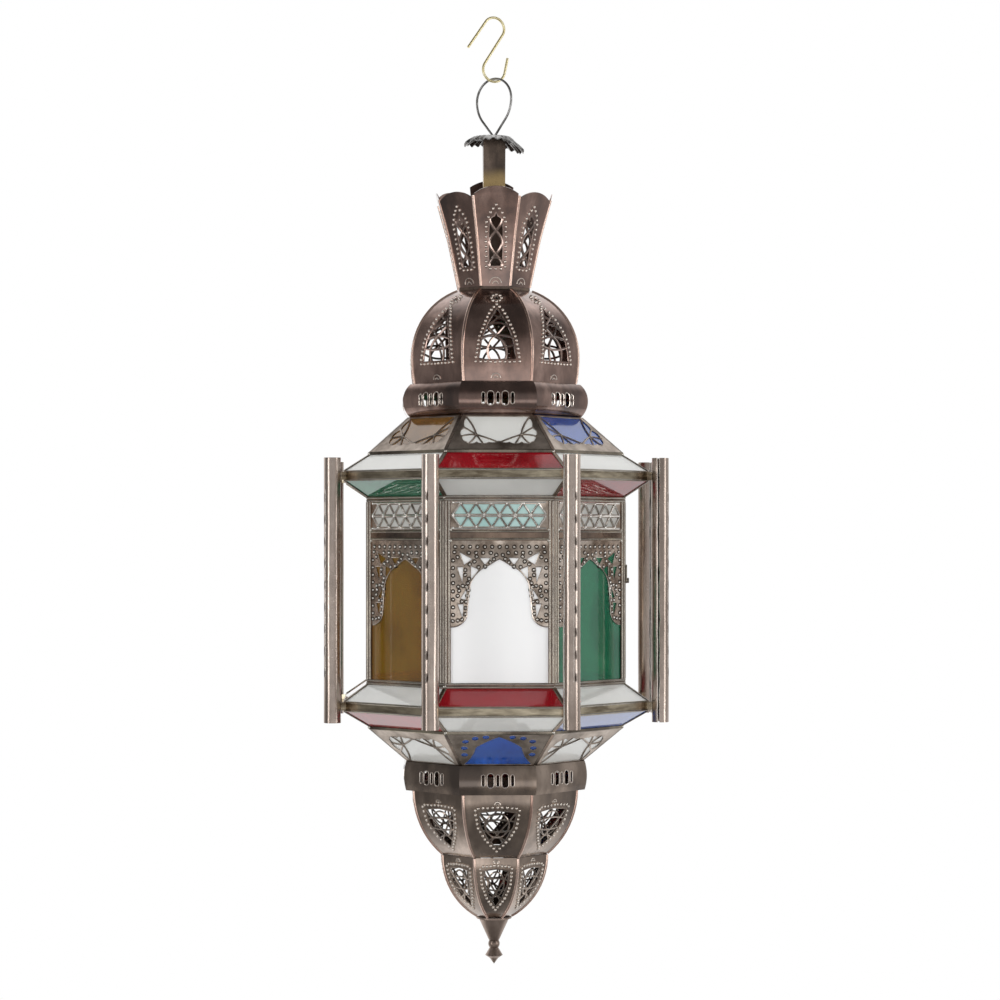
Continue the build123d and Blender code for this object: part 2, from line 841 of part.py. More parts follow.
# Roof fret: a wide hanging opening with leaf slits in the lower corners
roof_sheet = tier_fret(roof_tier)
roof_stretch = slope_stretch(roof_tier, roof_drawn_slope)
roof_top_edge, roof_waist, roof_knot, roof_swag, roof_point = up_slope(
    [
        (roof_opening_half, roof_opening_top),
        (roof_waist_half, roof_waist_rise),
        (roof_knot_half, roof_knot_rise),
        (roof_swag_half, roof_swag_rise),
        (0, roof_point_rise),
    ],
    roof_stretch,
)
with BuildPart() as roof_fret:
    add(roof_sheet)
    with BuildSketch(slant_plane(*roof_tier)):
        with BuildLine():
            Line(on_side(-1, roof_top_edge), roof_top_edge)
            for side in (1, -1):
                ThreePointArc(*[on_side(side, point) for point in (roof_top_edge, roof_waist, roof_knot)])
                ThreePointArc(*[on_side(side, point) for point in (roof_knot, roof_swag, roof_point)])
        make_face()
        for slit in roof_slits:
            for outline in both_hands(up_slope(slit, roof_stretch)):
                Polygon(*outline, align=None)
    extrude(amount=fret_cut, both=True, mode=Mode.SUBTRACT)
with BuildPart() as roof_frets:
    with on_faces(all_faces):
        add(roof_fret.part)
save(roof_frets, "roof_frets")

# Lower cone fret: an upright arch with leaf slits round it
cone_sheet = tier_fret(cone_tier)
cone_stretch = slope_stretch(cone_tier, cone_drawn_slope)
cone_foot, cone_waist, cone_shoulder, cone_point = up_slope(
    [
        (cone_arch_half, cone_arch_foot),
        (cone_waist_half, cone_waist_rise),
        (cone_shoulder_half, cone_shoulder_rise),
        (0, cone_point_rise),
    ],
    cone_stretch,
)
with BuildPart() as cone_fret:
    add(cone_sheet)
    with BuildSketch(slant_plane(*cone_tier)):
        with BuildLine():
            Line(on_side(-1, cone_foot), cone_foot)
            for side in (1, -1):
                ThreePointArc(*[on_side(side, point) for point in (cone_foot, cone_waist, cone_shoulder)])
                Line(on_side(side, cone_shoulder), cone_point)
        make_face()
        for slit in cone_slits:
            for outline in both_hands(up_slope(slit, cone_stretch)):
                Polygon(*outline, align=None)
    extrude(amount=fret_cut, both=True, mode=Mode.SUBTRACT)
with BuildPart() as cone_frets:
    with on_faces(all_faces):
        add(cone_fret.part)
save(cone_frets, "cone_frets")


def level_ring(name, apothem, z_foot, height):
    """An eight-sided strip that carries the panes above and below it."""
    with BuildPart() as ring:
        with BuildSketch(Plane.XY.offset(z_foot)):
            octagon_ring(apothem, ring_depth)
        extrude(amount=height)
    save(ring, name)


level_ring("upper_hip_ring", hip_ring_apothem, z_eave, hip_ring_height)
level_ring("lower_hip_ring", hip_ring_apothem, z_cone, hip_ring_height)
level_ring("body_top_rail", body_apothem, z_frieze, rail_height)
level_ring("body_bottom_rail", body_apothem, z_sill, rail_height)


def rim_band(name, z_foot):
    """The widest strip of a tier, with a lug at each corner that carries a column."""
    lug_start = (band_apothem - ring_depth) * corner_stretch
    lug_length = column_circle - lug_start
    with BuildPart() as band:
        with BuildSketch(Plane.XY.offset(z_foot)):
            octagon_ring(band_apothem, ring_depth)
        extrude(amount=band_height)
        with on_corners():
            with Locations((lug_start + lug_length / 2, 0, z_foot + band_height / 2)):
                Box(lug_length, lug_width, band_height - 2 * lug_margin)
            with Locations((column_circle, 0, z_foot)):
                Cylinder(column_radius + solder, 4 * band_height, mode=Mode.SUBTRACT)
        with BuildSketch(Plane.XY.offset(z_foot)):
            RegularPolygon(band_apothem - ring_depth, sides, major_radius=False, rotation=corner_angle)
        extrude(amount=band_height, mode=Mode.SUBTRACT)
    save(band, name)


rim_band("upper_band", z_soffit)
rim_band("lower_band", z_lower_soffit)

# Columns: rolled tubes with an open seam and a row of slits that face outwards
z_column_top = z_band + column_above_band
z_column_foot = z_lower_soffit - column_below_band
with BuildPart() as column:
    with BuildSketch(Plane.XY.offset(z_column_foot)):
        with Locations((column_circle, 0)):
            Circle(column_radius)
            Circle(column_radius - sheet, mode=Mode.SUBTRACT)
            with Locations(Location((0, 0, 0), (0, 0, column_seam_angle))):
                with Locations((column_radius, 0)):
                    Rectangle(2 * column_radius, column_seam, mode=Mode.SUBTRACT)
    extrude(amount=z_column_top - z_column_foot)
    for slit in range(column_slits):
        z_slit = z_column_top - column_first_slit - slit * column_slit_pitch
        with Locations((column_circle + column_radius, 0, z_slit)):
            Box(4 * sheet, column_slit_width, column_slit_length, mode=Mode.SUBTRACT)
with BuildPart() as columns:
    with on_corners():
        add(column.part)
save(columns, "columns")

# Body posts: a folded strip at each corner of the glazed body
inner_apothem = body_apothem - frame_depth
miter_turn = math.radians(2 * corner_angle)


def over_corner(x, y):
    """The mirror image of a plan point across the corner plane."""
    return (
        x * math.cos(miter_turn) + y * math.sin(miter_turn),
        x * math.sin(miter_turn) - y * math.cos(miter_turn),
    )


with BuildPart() as post:
    with BuildSketch(Plane.XY.offset(z_bottom_rail)):
        Polygon(
            (body_apothem, clear_half),
            (body_apothem, corner_y),
            over_corner(body_apothem, clear_half),
            over_corner(inner_apothem, clear_half),
            (inner_apothem, inner_apothem * corner_tan),
            (inner_apothem, clear_half),
            align=None,
        )
    extrude(amount=z_frieze - z_bottom_rail)
with BuildPart() as body_posts:
    with PolarLocations(0, sides):
        add(post.part)
save(body_posts, "body_posts")

with BuildPart() as body_crossbars:
    with on_faces(fixed_faces):
        with Locations((body_apothem - frame_depth / 2, 0, z_main + crossbar_height / 2)):
            Box(frame_depth, 2 * clear_half, crossbar_height)
save(body_crossbars, "body_crossbars")


def upright_pane(half_width, z_foot, z_top):
    """A pane that stands in the wall."""
    with BuildPart() as pane:
        with Locations((pane_middle, 0, (z_foot + z_top) / 2)):
            Box(glass, 2 * half_width, z_top - z_foot)
    return pane.part


def frieze_fret(half_width, z_foot, z_top):
    """A strip pierced with two rows of triangles."""
    row_height = (z_top - z_foot - 2 * frieze_margin - frieze_bar) / 2
    count = int((2 * half_width - frieze_pitch) // (frieze_pitch / 2))
    with BuildPart() as strip:
        with Locations((fret_middle, 0, (z_foot + z_top) / 2)):
            Box(fret, 2 * half_width, z_top - z_foot)
        with BuildSketch(Plane.YZ):
            for row in (0, 1):
                z_row = z_foot + frieze_margin + row * (row_height + frieze_bar)
                for step in range(count):
                    y = (step - (count - 1) / 2) * frieze_pitch / 2
                    flat, tip = (z_row, z_row + row_height)
                    if (step + row) % 2:
                        flat, tip = (tip, flat)
                    Polygon(
                        (y - frieze_triangle_base / 2, flat),
                        (y + frieze_triangle_base / 2, flat),
                        (y, tip),
                        align=None,
                    )
        extrude(amount=column_circle, mode=Mode.SUBTRACT)
    return strip.part


def arch_fret(half_width):
    """The pierced spandrels of a pointed arch that hangs from the crossbar."""
    with BuildPart() as spandrels:
        with BuildSketch(Plane.YZ.offset(pane_outside)):
            with BuildLine():
                Line((-half_width, z_main), (half_width, z_main))
                for side in (1, -1):
                    spread = side * half_width / arch_drawn_half
                    edge = (side * half_width, z_main - arch_foot_drop)
                    turn = (spread * arch_heel_half, z_main - arch_heel_drop)
                    heel = (spread * arch_leg_half, z_main - arch_leg_drop)
                    knee = (spread * arch_spring_half, z_main - arch_spring_drop)
                    bend = (spread * arch_haunch_half, z_main - arch_haunch_drop)
                    neck = (spread * arch_neck_half, z_main - arch_neck_drop)
                    Line((side * half_width, z_main), edge)
                    ThreePointArc(edge, turn, heel)
                    Line(heel, knee)
                    ThreePointArc(knee, bend, neck)
                    Line(neck, (0, z_main - arch_point_drop))
            make_face()
            for slit in arch_slits:
                for outline in both_hands(slit):
                    corners = [(y * half_width / arch_drawn_half, z_main - drop) for y, drop in outline]
                    Polygon(*corners, align=None, mode=Mode.SUBTRACT)
        extrude(amount=fret)
    return spandrels.part


# Fixed walls: frieze and main panes with their frets
frieze_pane = upright_pane(clear_half, z_crossbar, z_frieze)
main_pane = upright_pane(clear_half, z_bottom_rail, z_main)
fixed_even = [face for face in even_faces if face != door_face]
glaze("frieze_panes_turquoise", [(frieze_pane, fixed_even)])
glaze("frieze_panes_white", [(frieze_pane, odd_faces)])
glaze("main_panes_white", [(main_pane, fixed_even)])
glaze("main_panes_green", [(main_pane, blue_faces)])
glaze("main_panes_amber", [(main_pane, amber_faces)])
glaze("frieze_frets", [(frieze_fret(clear_half, z_crossbar, z_frieze), fixed_faces)])
glaze("arch_frets", [(arch_fret(clear_half), fixed_faces)])

# Candle floor: a plate inside the bottom rail, with a cup for the candle
z_floor = z_sill + floor_thickness
with BuildPart() as floor_plate:
    with BuildSketch(Plane.XY.offset(z_sill)):
        RegularPolygon(inner_apothem - solder, sides, major_radius=False, rotation=corner_angle)
    extrude(amount=floor_thickness)
save(floor_plate, "floor_plate")

with BuildPart() as candle_cup:
    with BuildSketch(Plane.XY.offset(z_floor)):
        Circle(cup_bore + cup_wall)
    extrude(amount=cup_base + cup_depth)
    with BuildSketch(Plane.XY.offset(z_floor + cup_base)):
        Circle(cup_bore)
    extrude(amount=cup_depth, mode=Mode.SUBTRACT)
save(candle_cup, "candle_cup")

# Door: a framed panel in face 2, glazed and pierced like the fixed walls
door_half = clear_half - door_gap
door_foot = z_bottom_rail + door_gap
door_top = z_frieze - door_gap
light_half = door_half - door_stile
with BuildPart() as door_frame:
    with Locations((body_apothem - frame_depth / 2, 0, (door_foot + door_top) / 2)):
        Box(frame_depth, 2 * door_half, door_top - door_foot)
    with BuildSketch(Plane.YZ):
        for z_low, z_high in ((door_foot + door_stile, z_main), (z_crossbar, door_top - door_stile)):
            with Locations((0, (z_low + z_high) / 2)):
                Rectangle(2 * light_half, z_high - z_low)
    extrude(amount=column_circle, mode=Mode.SUBTRACT)
save(door_frame, "door_frame")
glaze("door_frieze_pane", [(upright_pane(light_half, z_crossbar, door_top - door_stile), [door_face])])
glaze("door_main_pane", [(upright_pane(light_half, door_foot + door_stile, z_main), [door_face])])
glaze("door_frieze_fret", [(frieze_fret(light_half, z_crossbar, door_top - door_stile), [door_face])])
glaze("door_arch_fret", [(arch_fret(light_half), [door_face])])

# Hinges: two pairs of knuckles on pins, on the door's rear edge
hinge_x = body_apothem + rest_gap + hinge_knuckle_radius
hinge_y = clear_half - door_gap / 2
hinge_bore = hinge_pin_radius + hinge_pin_clearance
hinge_feet = (door_foot + hinge_inset, door_top - hinge_inset - 2 * hinge_knuckle_length)
knuckle_step = hinge_knuckle_length + hinge_knuckle_gap


def knuckles(name, lift, side):
    """A rolled knuckle with its leaf, at both hinges. The leaf lies on the given side of the axis."""
    with BuildPart() as rolled:
        for foot in hinge_feet:
            z_middle = foot + lift + hinge_knuckle_length / 2
            with Locations((hinge_x, hinge_y, z_middle)):
                Cylinder(hinge_knuckle_radius, hinge_knuckle_length)
            with Locations((body_apothem + hinge_leaf / 2, hinge_y + side * hinge_leaf_width / 2, z_middle)):
                Box(hinge_leaf, hinge_leaf_width, hinge_knuckle_length)
            with Locations((hinge_x, hinge_y, z_middle)):
                Cylinder(hinge_bore, 2 * hinge_knuckle_length, mode=Mode.SUBTRACT)
    save(rolled, name)


knuckles("post_knuckles", 0, 1)
knuckles("door_knuckles", knuckle_step, -1)

pin_length = hinge_knuckle_length + knuckle_step + rest_gap
with BuildPart() as hinge_pins:
    for foot in hinge_feet:
        with Locations((hinge_x, hinge_y, foot + pin_length / 2)):
            Cylinder(hinge_pin_radius, pin_length)
        with Locations((hinge_x, hinge_y, foot + pin_length + hinge_pin_head / 2)):
            Cylinder(hinge_knuckle_radius, hinge_pin_head)
save(hinge_pins, "hinge_pins")

# Turn button: a lever on a headed stud, on the post beside the door's front edge
latch_y = -(clear_half + post_flange / 2)
z_latch = z_bottom_rail + latch_height
latch_foot = body_apothem + latch_stand_off
stud_length = latch_stand_off + latch_thickness + rest_gap
with BuildPart() as latch_stud:
    with BuildSketch(Plane.YZ.offset(body_apothem)):
        with Locations((latch_y, z_latch)):
            Circle(latch_stud_radius)
    extrude(amount=stud_length)
    with BuildSketch(Plane.YZ.offset(body_apothem + stud_length)):
        with Locations((latch_y, z_latch)):
            Circle(latch_head_radius)
    extrude(amount=latch_head_height)
save(latch_stud, "latch_stud")

with BuildPart() as latch_lever:
    with BuildSketch(Plane.YZ.offset(latch_foot)):
        with Locations((latch_y, z_latch + (latch_length - latch_width / 2) / 2)):
            SlotOverall(latch_length + latch_width / 2, latch_width, rotation=90)
        with Locations((latch_y, z_latch)):
            Circle(latch_stud_radius + latch_clearance, mode=Mode.SUBTRACT)
    extrude(amount=latch_thickness)
save(latch_lever, "latch_lever")
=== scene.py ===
# %% [markdown]
# # A hanging fanous lantern
#
# The lantern is an eight-sided cage of oxidised copper sheet and coloured glass. Its main forms come from a
# CAD model, which is loaded first and stays where it is. This lesson dresses that model: the pierced
# sheets, the lattice windows, the beads, the rolled columns, the lead lines between the panes, and every
# finish. Everything is in metres, in the CAD model's own frame, so a piece needs no fitting.

# %% Load the CAD model
import json
import math

import bpy
from mathutils import Matrix, Vector, noise

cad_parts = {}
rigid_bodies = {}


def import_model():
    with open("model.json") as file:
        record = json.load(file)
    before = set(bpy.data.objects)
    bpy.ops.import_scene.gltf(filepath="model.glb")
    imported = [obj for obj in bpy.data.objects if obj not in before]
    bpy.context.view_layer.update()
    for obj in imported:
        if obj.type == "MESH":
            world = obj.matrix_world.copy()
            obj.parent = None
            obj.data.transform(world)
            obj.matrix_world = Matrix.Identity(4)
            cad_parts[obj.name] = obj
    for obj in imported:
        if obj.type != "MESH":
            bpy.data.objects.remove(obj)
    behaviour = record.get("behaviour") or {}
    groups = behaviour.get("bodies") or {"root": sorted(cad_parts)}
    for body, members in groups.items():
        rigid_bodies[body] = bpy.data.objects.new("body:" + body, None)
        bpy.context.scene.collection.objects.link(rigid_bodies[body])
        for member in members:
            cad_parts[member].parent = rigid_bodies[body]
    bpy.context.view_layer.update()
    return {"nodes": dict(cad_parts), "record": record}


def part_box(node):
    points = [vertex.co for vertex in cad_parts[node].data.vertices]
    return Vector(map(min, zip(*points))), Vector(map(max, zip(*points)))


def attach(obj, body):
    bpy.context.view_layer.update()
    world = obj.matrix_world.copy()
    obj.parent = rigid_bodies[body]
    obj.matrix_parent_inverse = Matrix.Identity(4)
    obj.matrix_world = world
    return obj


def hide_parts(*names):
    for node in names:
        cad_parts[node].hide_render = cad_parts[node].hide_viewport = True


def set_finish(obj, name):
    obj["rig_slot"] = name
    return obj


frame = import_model()
nodes = frame["nodes"]
bpy.ops.object.select_all(action="DESELECT")
SAME_EACH_RUN = 4
noise.seed_set(SAME_EACH_RUN)

# %% [markdown]
# ## The camera
#
# The view is level and long, as for a catalogue picture: the verticals stay upright and the tiers show only
# a little of their slope. The lantern is taller than it is wide and hangs above the middle of the lens, so
# the frame is shifted up instead of tilting the camera, which would make the columns lean.

# %% Camera at the height of the wall's top
MM = 0.001
eye_distance = 1.85
eye_height = -0.4027
eye_turn = math.radians(-2.4)
eye = bpy.data.cameras.new("eye")
eye.sensor_width = 36.0
eye.lens = 86.5
eye.shift_x = 0.006
eye.shift_y = 0.042
eye.clip_end = 60.0
camera = bpy.data.objects.new("eye", eye)
camera.location = (eye_distance * math.sin(eye_turn), -eye_distance * math.cos(eye_turn), eye_height)
camera.rotation_euler = (math.radians(90), 0, eye_turn)
bpy.context.scene.collection.objects.link(camera)
bpy.context.scene.camera = camera
print("camera at", [round(v, 3) for v in camera.location])

# %% [markdown]
# ## Levels and the eight-sided plan
#
# Every tier has eight faces. Face 0 looks at the camera and the count goes anticlockwise from above. A face
# piece is drawn once, flat, as it would be cut from sheet: across the face and up. A placing rule then
# carries each point of the flat drawing onto the face, and seven turned copies make the ring. The heights
# are read from the CAD nodes, so the dressing follows the model.

# %% Levels read from the CAD nodes
FACES = range(8)
CORNER_TAN = math.tan(math.radians(22.5))
CORNER_STRETCH = 1 / math.cos(math.radians(22.5))
SHEET = 0.8
RIB_HALF = 1.0


def low(node):
    """The lowest height of a CAD node, in millimetres."""
    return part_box(node)[0].z / MM


def high(node):
    """The highest height of a CAD node, in millimetres."""
    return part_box(node)[1].z / MM


neck = low("crown_petals")
dome_top = high("dome_gores")
dome_foot = low("dome_gores")
roof_top = high("roof_panes_white")
roof_foot = low("roof_panes_white")
band_top = high("upper_band")
band_foot = low("upper_band")
rail_top = high("body_top_rail")
frieze_top = low("body_top_rail")
frieze_foot = high("body_crossbars")
arch_top = low("body_crossbars")
wall_foot = high("body_bottom_rail")
sill_top = low("body_bottom_rail")
low_band_top = high("lower_band")
low_band_foot = low("lower_band")
cone_top = high("cone_panes_blue")
cone_foot = low("cone_panes_blue")
bowl_top = high("bowl_gores")
bowl_foot = low("bowl_gores")
pendant_top = high("pendant_gores")
pendant_foot = low("pendant_gores")
print("dome from", round(dome_foot, 1), "to", round(dome_top, 1), "mm")
print("wall from", round(wall_foot, 1), "to", round(arch_top, 1), "mm")

# %% [markdown]
# ## Curved sheets
#
# The petals, the dome, the bowl and the pendant are bent one way only, like barrel staves, so their section
# is a chain of circular arcs. Given a height, the section answers with the distance from the axis and the
# direction that the sheet faces there. That is all that is needed to bend a flat drawing onto it.


# %% The section of a bent sheet
def circle_through(a, b, c):
    """Centre and radius of the circle through three points."""
    det = 2 * (a[0] * (b[1] - c[1]) + b[0] * (c[1] - a[1]) + c[0] * (a[1] - b[1]))
    squares = [p[0] ** 2 + p[1] ** 2 for p in (a, b, c)]
    x = (squares[0] * (b[1] - c[1]) + squares[1] * (c[1] - a[1]) + squares[2] * (a[1] - b[1])) / det
    y = (squares[0] * (c[0] - b[0]) + squares[1] * (a[0] - c[0]) + squares[2] * (b[0] - a[0])) / det
    return x, y, math.hypot(a[0] - x, a[1] - y)


class Section:
    """A chain of arcs, each through three points given as (distance from the axis, height), top to bottom."""

    def __init__(self, points):
        self.top = points[0][1]
        self.foot = points[-1][1]
        self.arcs = []
        for first in range(0, len(points) - 2, 2):
            self.arcs.append(self.circle(*points[first:first + 3]))

    def circle(self, a, b, c):
        """Centre, radius, side and height range of the arc through three points."""
        x, z, radius = circle_through(a, b, c)
        side = 1 if b[0] > x else -1
        return x, z, radius, side, a[1], c[1]

    def at(self, height):
        """Distance from the axis, and the outward direction as (away from the axis, up)."""
        for x, z, radius, side, top, foot in self.arcs:
            if height >= foot:
                break
        reach = side * math.sqrt(max(radius ** 2 - (height - z) ** 2, 0.0))
        outward = Vector((side * reach, side * (height - z))).normalized()
        return x + reach, outward

    def heights(self, step):
        """Heights that cut the arcs into turns of about the given degrees, top to bottom."""
        found = []
        for x, z, radius, side, top, foot in self.arcs:
            start = math.asin(max(-1.0, min(1.0, (top - z) / radius)))
            end = math.asin(max(-1.0, min(1.0, (foot - z) / radius)))
            count = max(2, round(math.degrees(start - end) / step))
            found += [z + radius * math.sin(start + (end - start) * i / count) for i in range(count)]
        return found + [self.foot]

    def half_width(self, height):
        """Half the width of one face at a height, less half a rib."""
        return self.at(height)[0] * CORNER_TAN - RIB_HALF * CORNER_STRETCH

    def place(self, across, height, lift):
        """Carry a point of the flat drawing onto face 0, lifted off the sheet's outside."""
        reach, outward = self.at(max(min(height, self.top), self.foot))
        return Vector((across, -(reach + outward.x * lift), height + outward.y * lift)) * MM


crown_rise = {1: -3.0, 3: 5.0, 4: 17.0, 5: 5.0, 7: -3.0}
crown_height = 77.0


def crown_section(rise):
    """The section of one petal. The tips stand higher at the back."""
    return Section([(46.0, neck + crown_height + rise), (33.9, neck + 34.0), (27.0, neck)])


dome_belly = dome_foot + 17.35
dome_section = Section([
    (27.95, dome_top), (49.4, dome_top - 15.0), (63.2, dome_belly),
    (62.6, dome_foot + 8.35), (61.4, dome_foot),
])
bowl_section = Section([(62.2, bowl_top), (55.6, bowl_top - 28.95), (40.0, bowl_foot)])
pendant_section = Section([(40.0, pendant_top), (33.2, pendant_top - 27.85), (13.0, pendant_foot)])
print("dome at its belly:", round(dome_section.at(dome_belly)[0], 1), "mm from the axis")

# %% [markdown]
# ## Tools of the sheet-metal bench
#
# A pierced sheet starts as a flat curve: one closed line for the outside and one for each hole. Blender
# fills between them and gives them a thickness, which saves a boolean for every hole. The flat sheet is
# then sliced across, so that it has points to bend at, and each point is carried to its place. Lattice bars
# are bevelled curves, clipped to their window, and beads are small spheres sunk half-way into the sheet.

# %% Cutting and bending sheet
SMOOTH_BELOW = math.radians(50)


def select_only(obj):
    """Make one object the only selected and active one."""
    bpy.ops.object.select_all(action="DESELECT")
    obj.select_set(True)
    bpy.context.view_layer.objects.active = obj


def link(name, data):
    """Put a new object with this data in the scene, selected alone."""
    obj = bpy.data.objects.new(name, data)
    bpy.context.scene.collection.objects.link(obj)
    select_only(obj)
    return obj


def cut_sheet(name, outline, holes, cuts=(), across=False):
    """A flat sheet with holes, one unit thick, sliced level at each cut, or upright where across is set."""
    flat = bpy.data.curves.new(name, "CURVE")
    flat.dimensions = "2D"
    flat.fill_mode = "BOTH"
    flat.extrude = 0.5
    for loop in [outline] + list(holes):
        edge = flat.splines.new("POLY")
        edge.points.add(len(loop) - 1)
        edge.points.foreach_set("co", [v for x, y in loop for v in (x, y, 0.0, 1.0)])
        edge.use_cyclic_u = True
    obj = link(name, flat)
    bpy.ops.object.convert(target="MESH")
    bpy.ops.object.mode_set(mode="EDIT")
    for cut in cuts:
        bpy.ops.mesh.select_all(action="SELECT")
        if across:
            bpy.ops.mesh.bisect(plane_co=(cut, 0, 0), plane_no=(1, 0, 0))
        else:
            bpy.ops.mesh.bisect(plane_co=(0, cut, 0), plane_no=(0, 1, 0))
    bpy.ops.mesh.select_all(action="SELECT")
    bpy.ops.mesh.remove_doubles(threshold=0.0005)
    bpy.ops.object.mode_set(mode="OBJECT")
    return obj


def bend(obj, place, thickness=SHEET):
    """Carry the flat sheet to its place, with its outside on the surface that the rule gives."""
    for vertex in obj.data.vertices:
        across, up, depth = vertex.co
        vertex.co = place(across, up, (depth - 0.5) * thickness)
    return obj


print("sheet", SHEET, "mm thick, smooth below", round(math.degrees(SMOOTH_BELOW)), "degrees")


# %% Joining, copying and settling pieces
def join(name, pieces):
    """Make several objects one mesh."""
    select_only(pieces[0])
    for piece in pieces:
        piece.select_set(True)
    bpy.ops.object.join()
    made = bpy.context.object
    made.name = name
    made.data.name = name
    return made


def turned(obj, faces):
    """A copy of a face-0 piece for each of the given faces. The pattern itself is removed."""
    copies = []
    for face in faces:
        copy = link(obj.name, obj.data.copy())
        copy.data.transform(Matrix.Rotation(math.radians(45 * face), 4, "Z"))
        copies.append(copy)
    bpy.data.objects.remove(obj)
    return copies


def settle(obj, body, slot, *stands_for):
    """Let a finished piece ride on its body and take its slot and the CAD nodes that it stands for."""
    select_only(obj)
    bpy.ops.object.shade_smooth_by_angle(angle=SMOOTH_BELOW)
    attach(obj, body)
    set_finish(obj, slot)
    if stands_for:
        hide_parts(*stands_for)
    print(obj.name, "triangles:", sum(len(face.vertices) - 2 for face in obj.data.polygons))
    return obj


print("copies in a ring:", len(FACES))


# %% Lines and arcs
def arc(a, b, c, count=8):
    """Points on the circle through three points, from the first to the last."""
    x, y, radius = circle_through(a, b, c)
    start, middle, end = (math.atan2(p[1] - y, p[0] - x) for p in (a, b, c))
    turn = (end - start) % math.tau
    if (middle - start) % math.tau > turn:
        turn -= math.tau
    return [
        (x + radius * math.cos(start + turn * i / count), y + radius * math.sin(start + turn * i / count))
        for i in range(count + 1)
    ]


def ring_line(x, y, across, up, count=20):
    """A closed round or oval line."""
    return [
        (x + across * math.cos(math.tau * i / count), y + up * math.sin(math.tau * i / count))
        for i in range(count)
    ]


def mirrored(points):
    """The same line on the other side of the face's middle."""
    return [(-x, y) for x, y in points]


def mirror_loop(right):
    """A closed line from its right half, which is given from top to bottom."""
    left = [(-x, y) for x, y in reversed(right) if abs(x) > 1e-6]
    return right + left


print("points on an arc:", len(arc((10, 0), (7, 7), (0, 10))))


# %% Points along a line, and what lies inside a window
def spaced(points, pitch):
    """Points at an even pitch along a line, ends included."""
    lengths = [math.dist(points[i], points[i + 1]) for i in range(len(points) - 1)]
    total = sum(lengths)
    count = max(1, round(total / pitch))
    found = []
    for step in range(count + 1):
        left = total * step / count
        for i, length in enumerate(lengths):
            if left <= length or i == len(lengths) - 1:
                share = left / length if length else 0
                (x0, y0), (x1, y1) = points[i], points[i + 1]
                found.append((x0 + (x1 - x0) * share, y0 + (y1 - y0) * share))
                break
            left -= length
    return found


def inside(point, loop):
    """Whether a point lies inside a closed line."""
    x, y = point
    odd = False
    for i in range(len(loop)):
        (x0, y0), (x1, y1) = loop[i - 1], loop[i]
        if (y0 > y) != (y1 > y) and x < x0 + (x1 - x0) * (y - y0) / (y1 - y0):
            odd = not odd
    return odd


def clipped(run, loop, pitch=0.7):
    """The stretches of a line that lie inside a window, each reaching a little into its edge."""
    points = spaced(run, pitch)
    stretches = []
    current = []
    for i, point in enumerate(points):
        if inside(point, loop):
            if not current and i:
                current.append(points[i - 1])
            current.append(point)
        elif current:
            stretches.append(current + [point])
            current = []
    if current:
        stretches.append(current)
    return [stretch for stretch in stretches if len(stretch) > 2]


print("points on 40 mm at 3.7 mm:", len(spaced([(0, 0), (0, 40)], 3.7)))


# %% Bars and beads
def wires(name, lines, radius, roundness):
    """Round wires along lines of points in metres."""
    wire = bpy.data.curves.new(name, "CURVE")
    wire.dimensions = "3D"
    wire.bevel_depth = radius * MM
    wire.bevel_resolution = roundness
    wire.use_fill_caps = True
    for points in lines:
        line = wire.splines.new("POLY")
        line.points.add(len(points) - 1)
        line.points.foreach_set("co", [v for point in points for v in (*point, 1.0)])
    obj = link(name, wire)
    bpy.ops.object.convert(target="MESH")
    return obj


def bars(name, runs, radius, place, lift, roundness=1):
    """Round bars along lines of the flat drawing."""
    return wires(name, [[place(x, y, lift) for x, y in run] for run in runs], radius, roundness)


bpy.ops.mesh.primitive_uv_sphere_add(segments=8, ring_count=5, radius=1.0)
bead_pattern = bpy.context.object
bead_points = [vertex.co.copy() for vertex in bead_pattern.data.vertices]
bead_faces = [tuple(face.vertices) for face in bead_pattern.data.polygons]
bpy.data.objects.remove(bead_pattern)


def beads(name, centres, radius, place, lift=0.0, uneven=0.35):
    """Punched beads at points of the flat drawing, each a little off its mark, as by hand."""
    points = []
    faces = []
    for x, y in centres:
        start = len(points)
        sway = noise.noise_vector(Vector((x * 0.61 + 0.3, y * 0.57 + 0.2, radius))) * uneven
        middle = place(x + sway.x, y + sway.y, lift)
        size = radius * (1 + 0.5 * sway.z) * MM
        points += [middle + corner * size for corner in bead_points]
        faces += [tuple(start + i for i in face) for face in bead_faces]
    mesh = bpy.data.meshes.new(name)
    mesh.from_pydata(points, [], faces)
    return link(name, mesh)


def polish_and_shade_mark(obj, amount):
    """Note on every point how far handling has rubbed the dark skin off, for the finishes to read. A negative
    amount paints it dark instead, as painted shade.
    """
    rub_and_shade = obj.data.attributes.new("polish", "FLOAT", "POINT")
    rub_and_shade.data.foreach_set("value", [amount] * len(obj.data.vertices))
    return obj


print("bead faces:", len(bead_faces))

# %% [markdown]
# ## Pierced petals and gores
#
# The maker saws a window in each flat stave, leaves a lattice of thin bars in it, and punches a row of
# beads round it from behind. Modelling each bar as part of the sheet would need hundreds of small holes.
# Here the window is one hole, and the bars are wires laid in the thickness of the sheet, which gives them
# the soft edges that sawn and hammered bars have.

# %% One pierced stave
BAR = 0.95
BEAD = 1.2
RIM = 0.45
PUNCH = 0.5
bar_lift = -0.5
print("bars", BAR, "beads", BEAD, "rims", RIM, "mm")


def stave_outline(section, top_points):
    """The outside of a stave: its own side edges, and the given points along the top from left to right."""
    sides = [h for h in section.heights(4) if h < top_points[-1][1] - 0.3]
    right = [(section.half_width(h), h) for h in sides]
    return top_points + right + mirrored(reversed(right))


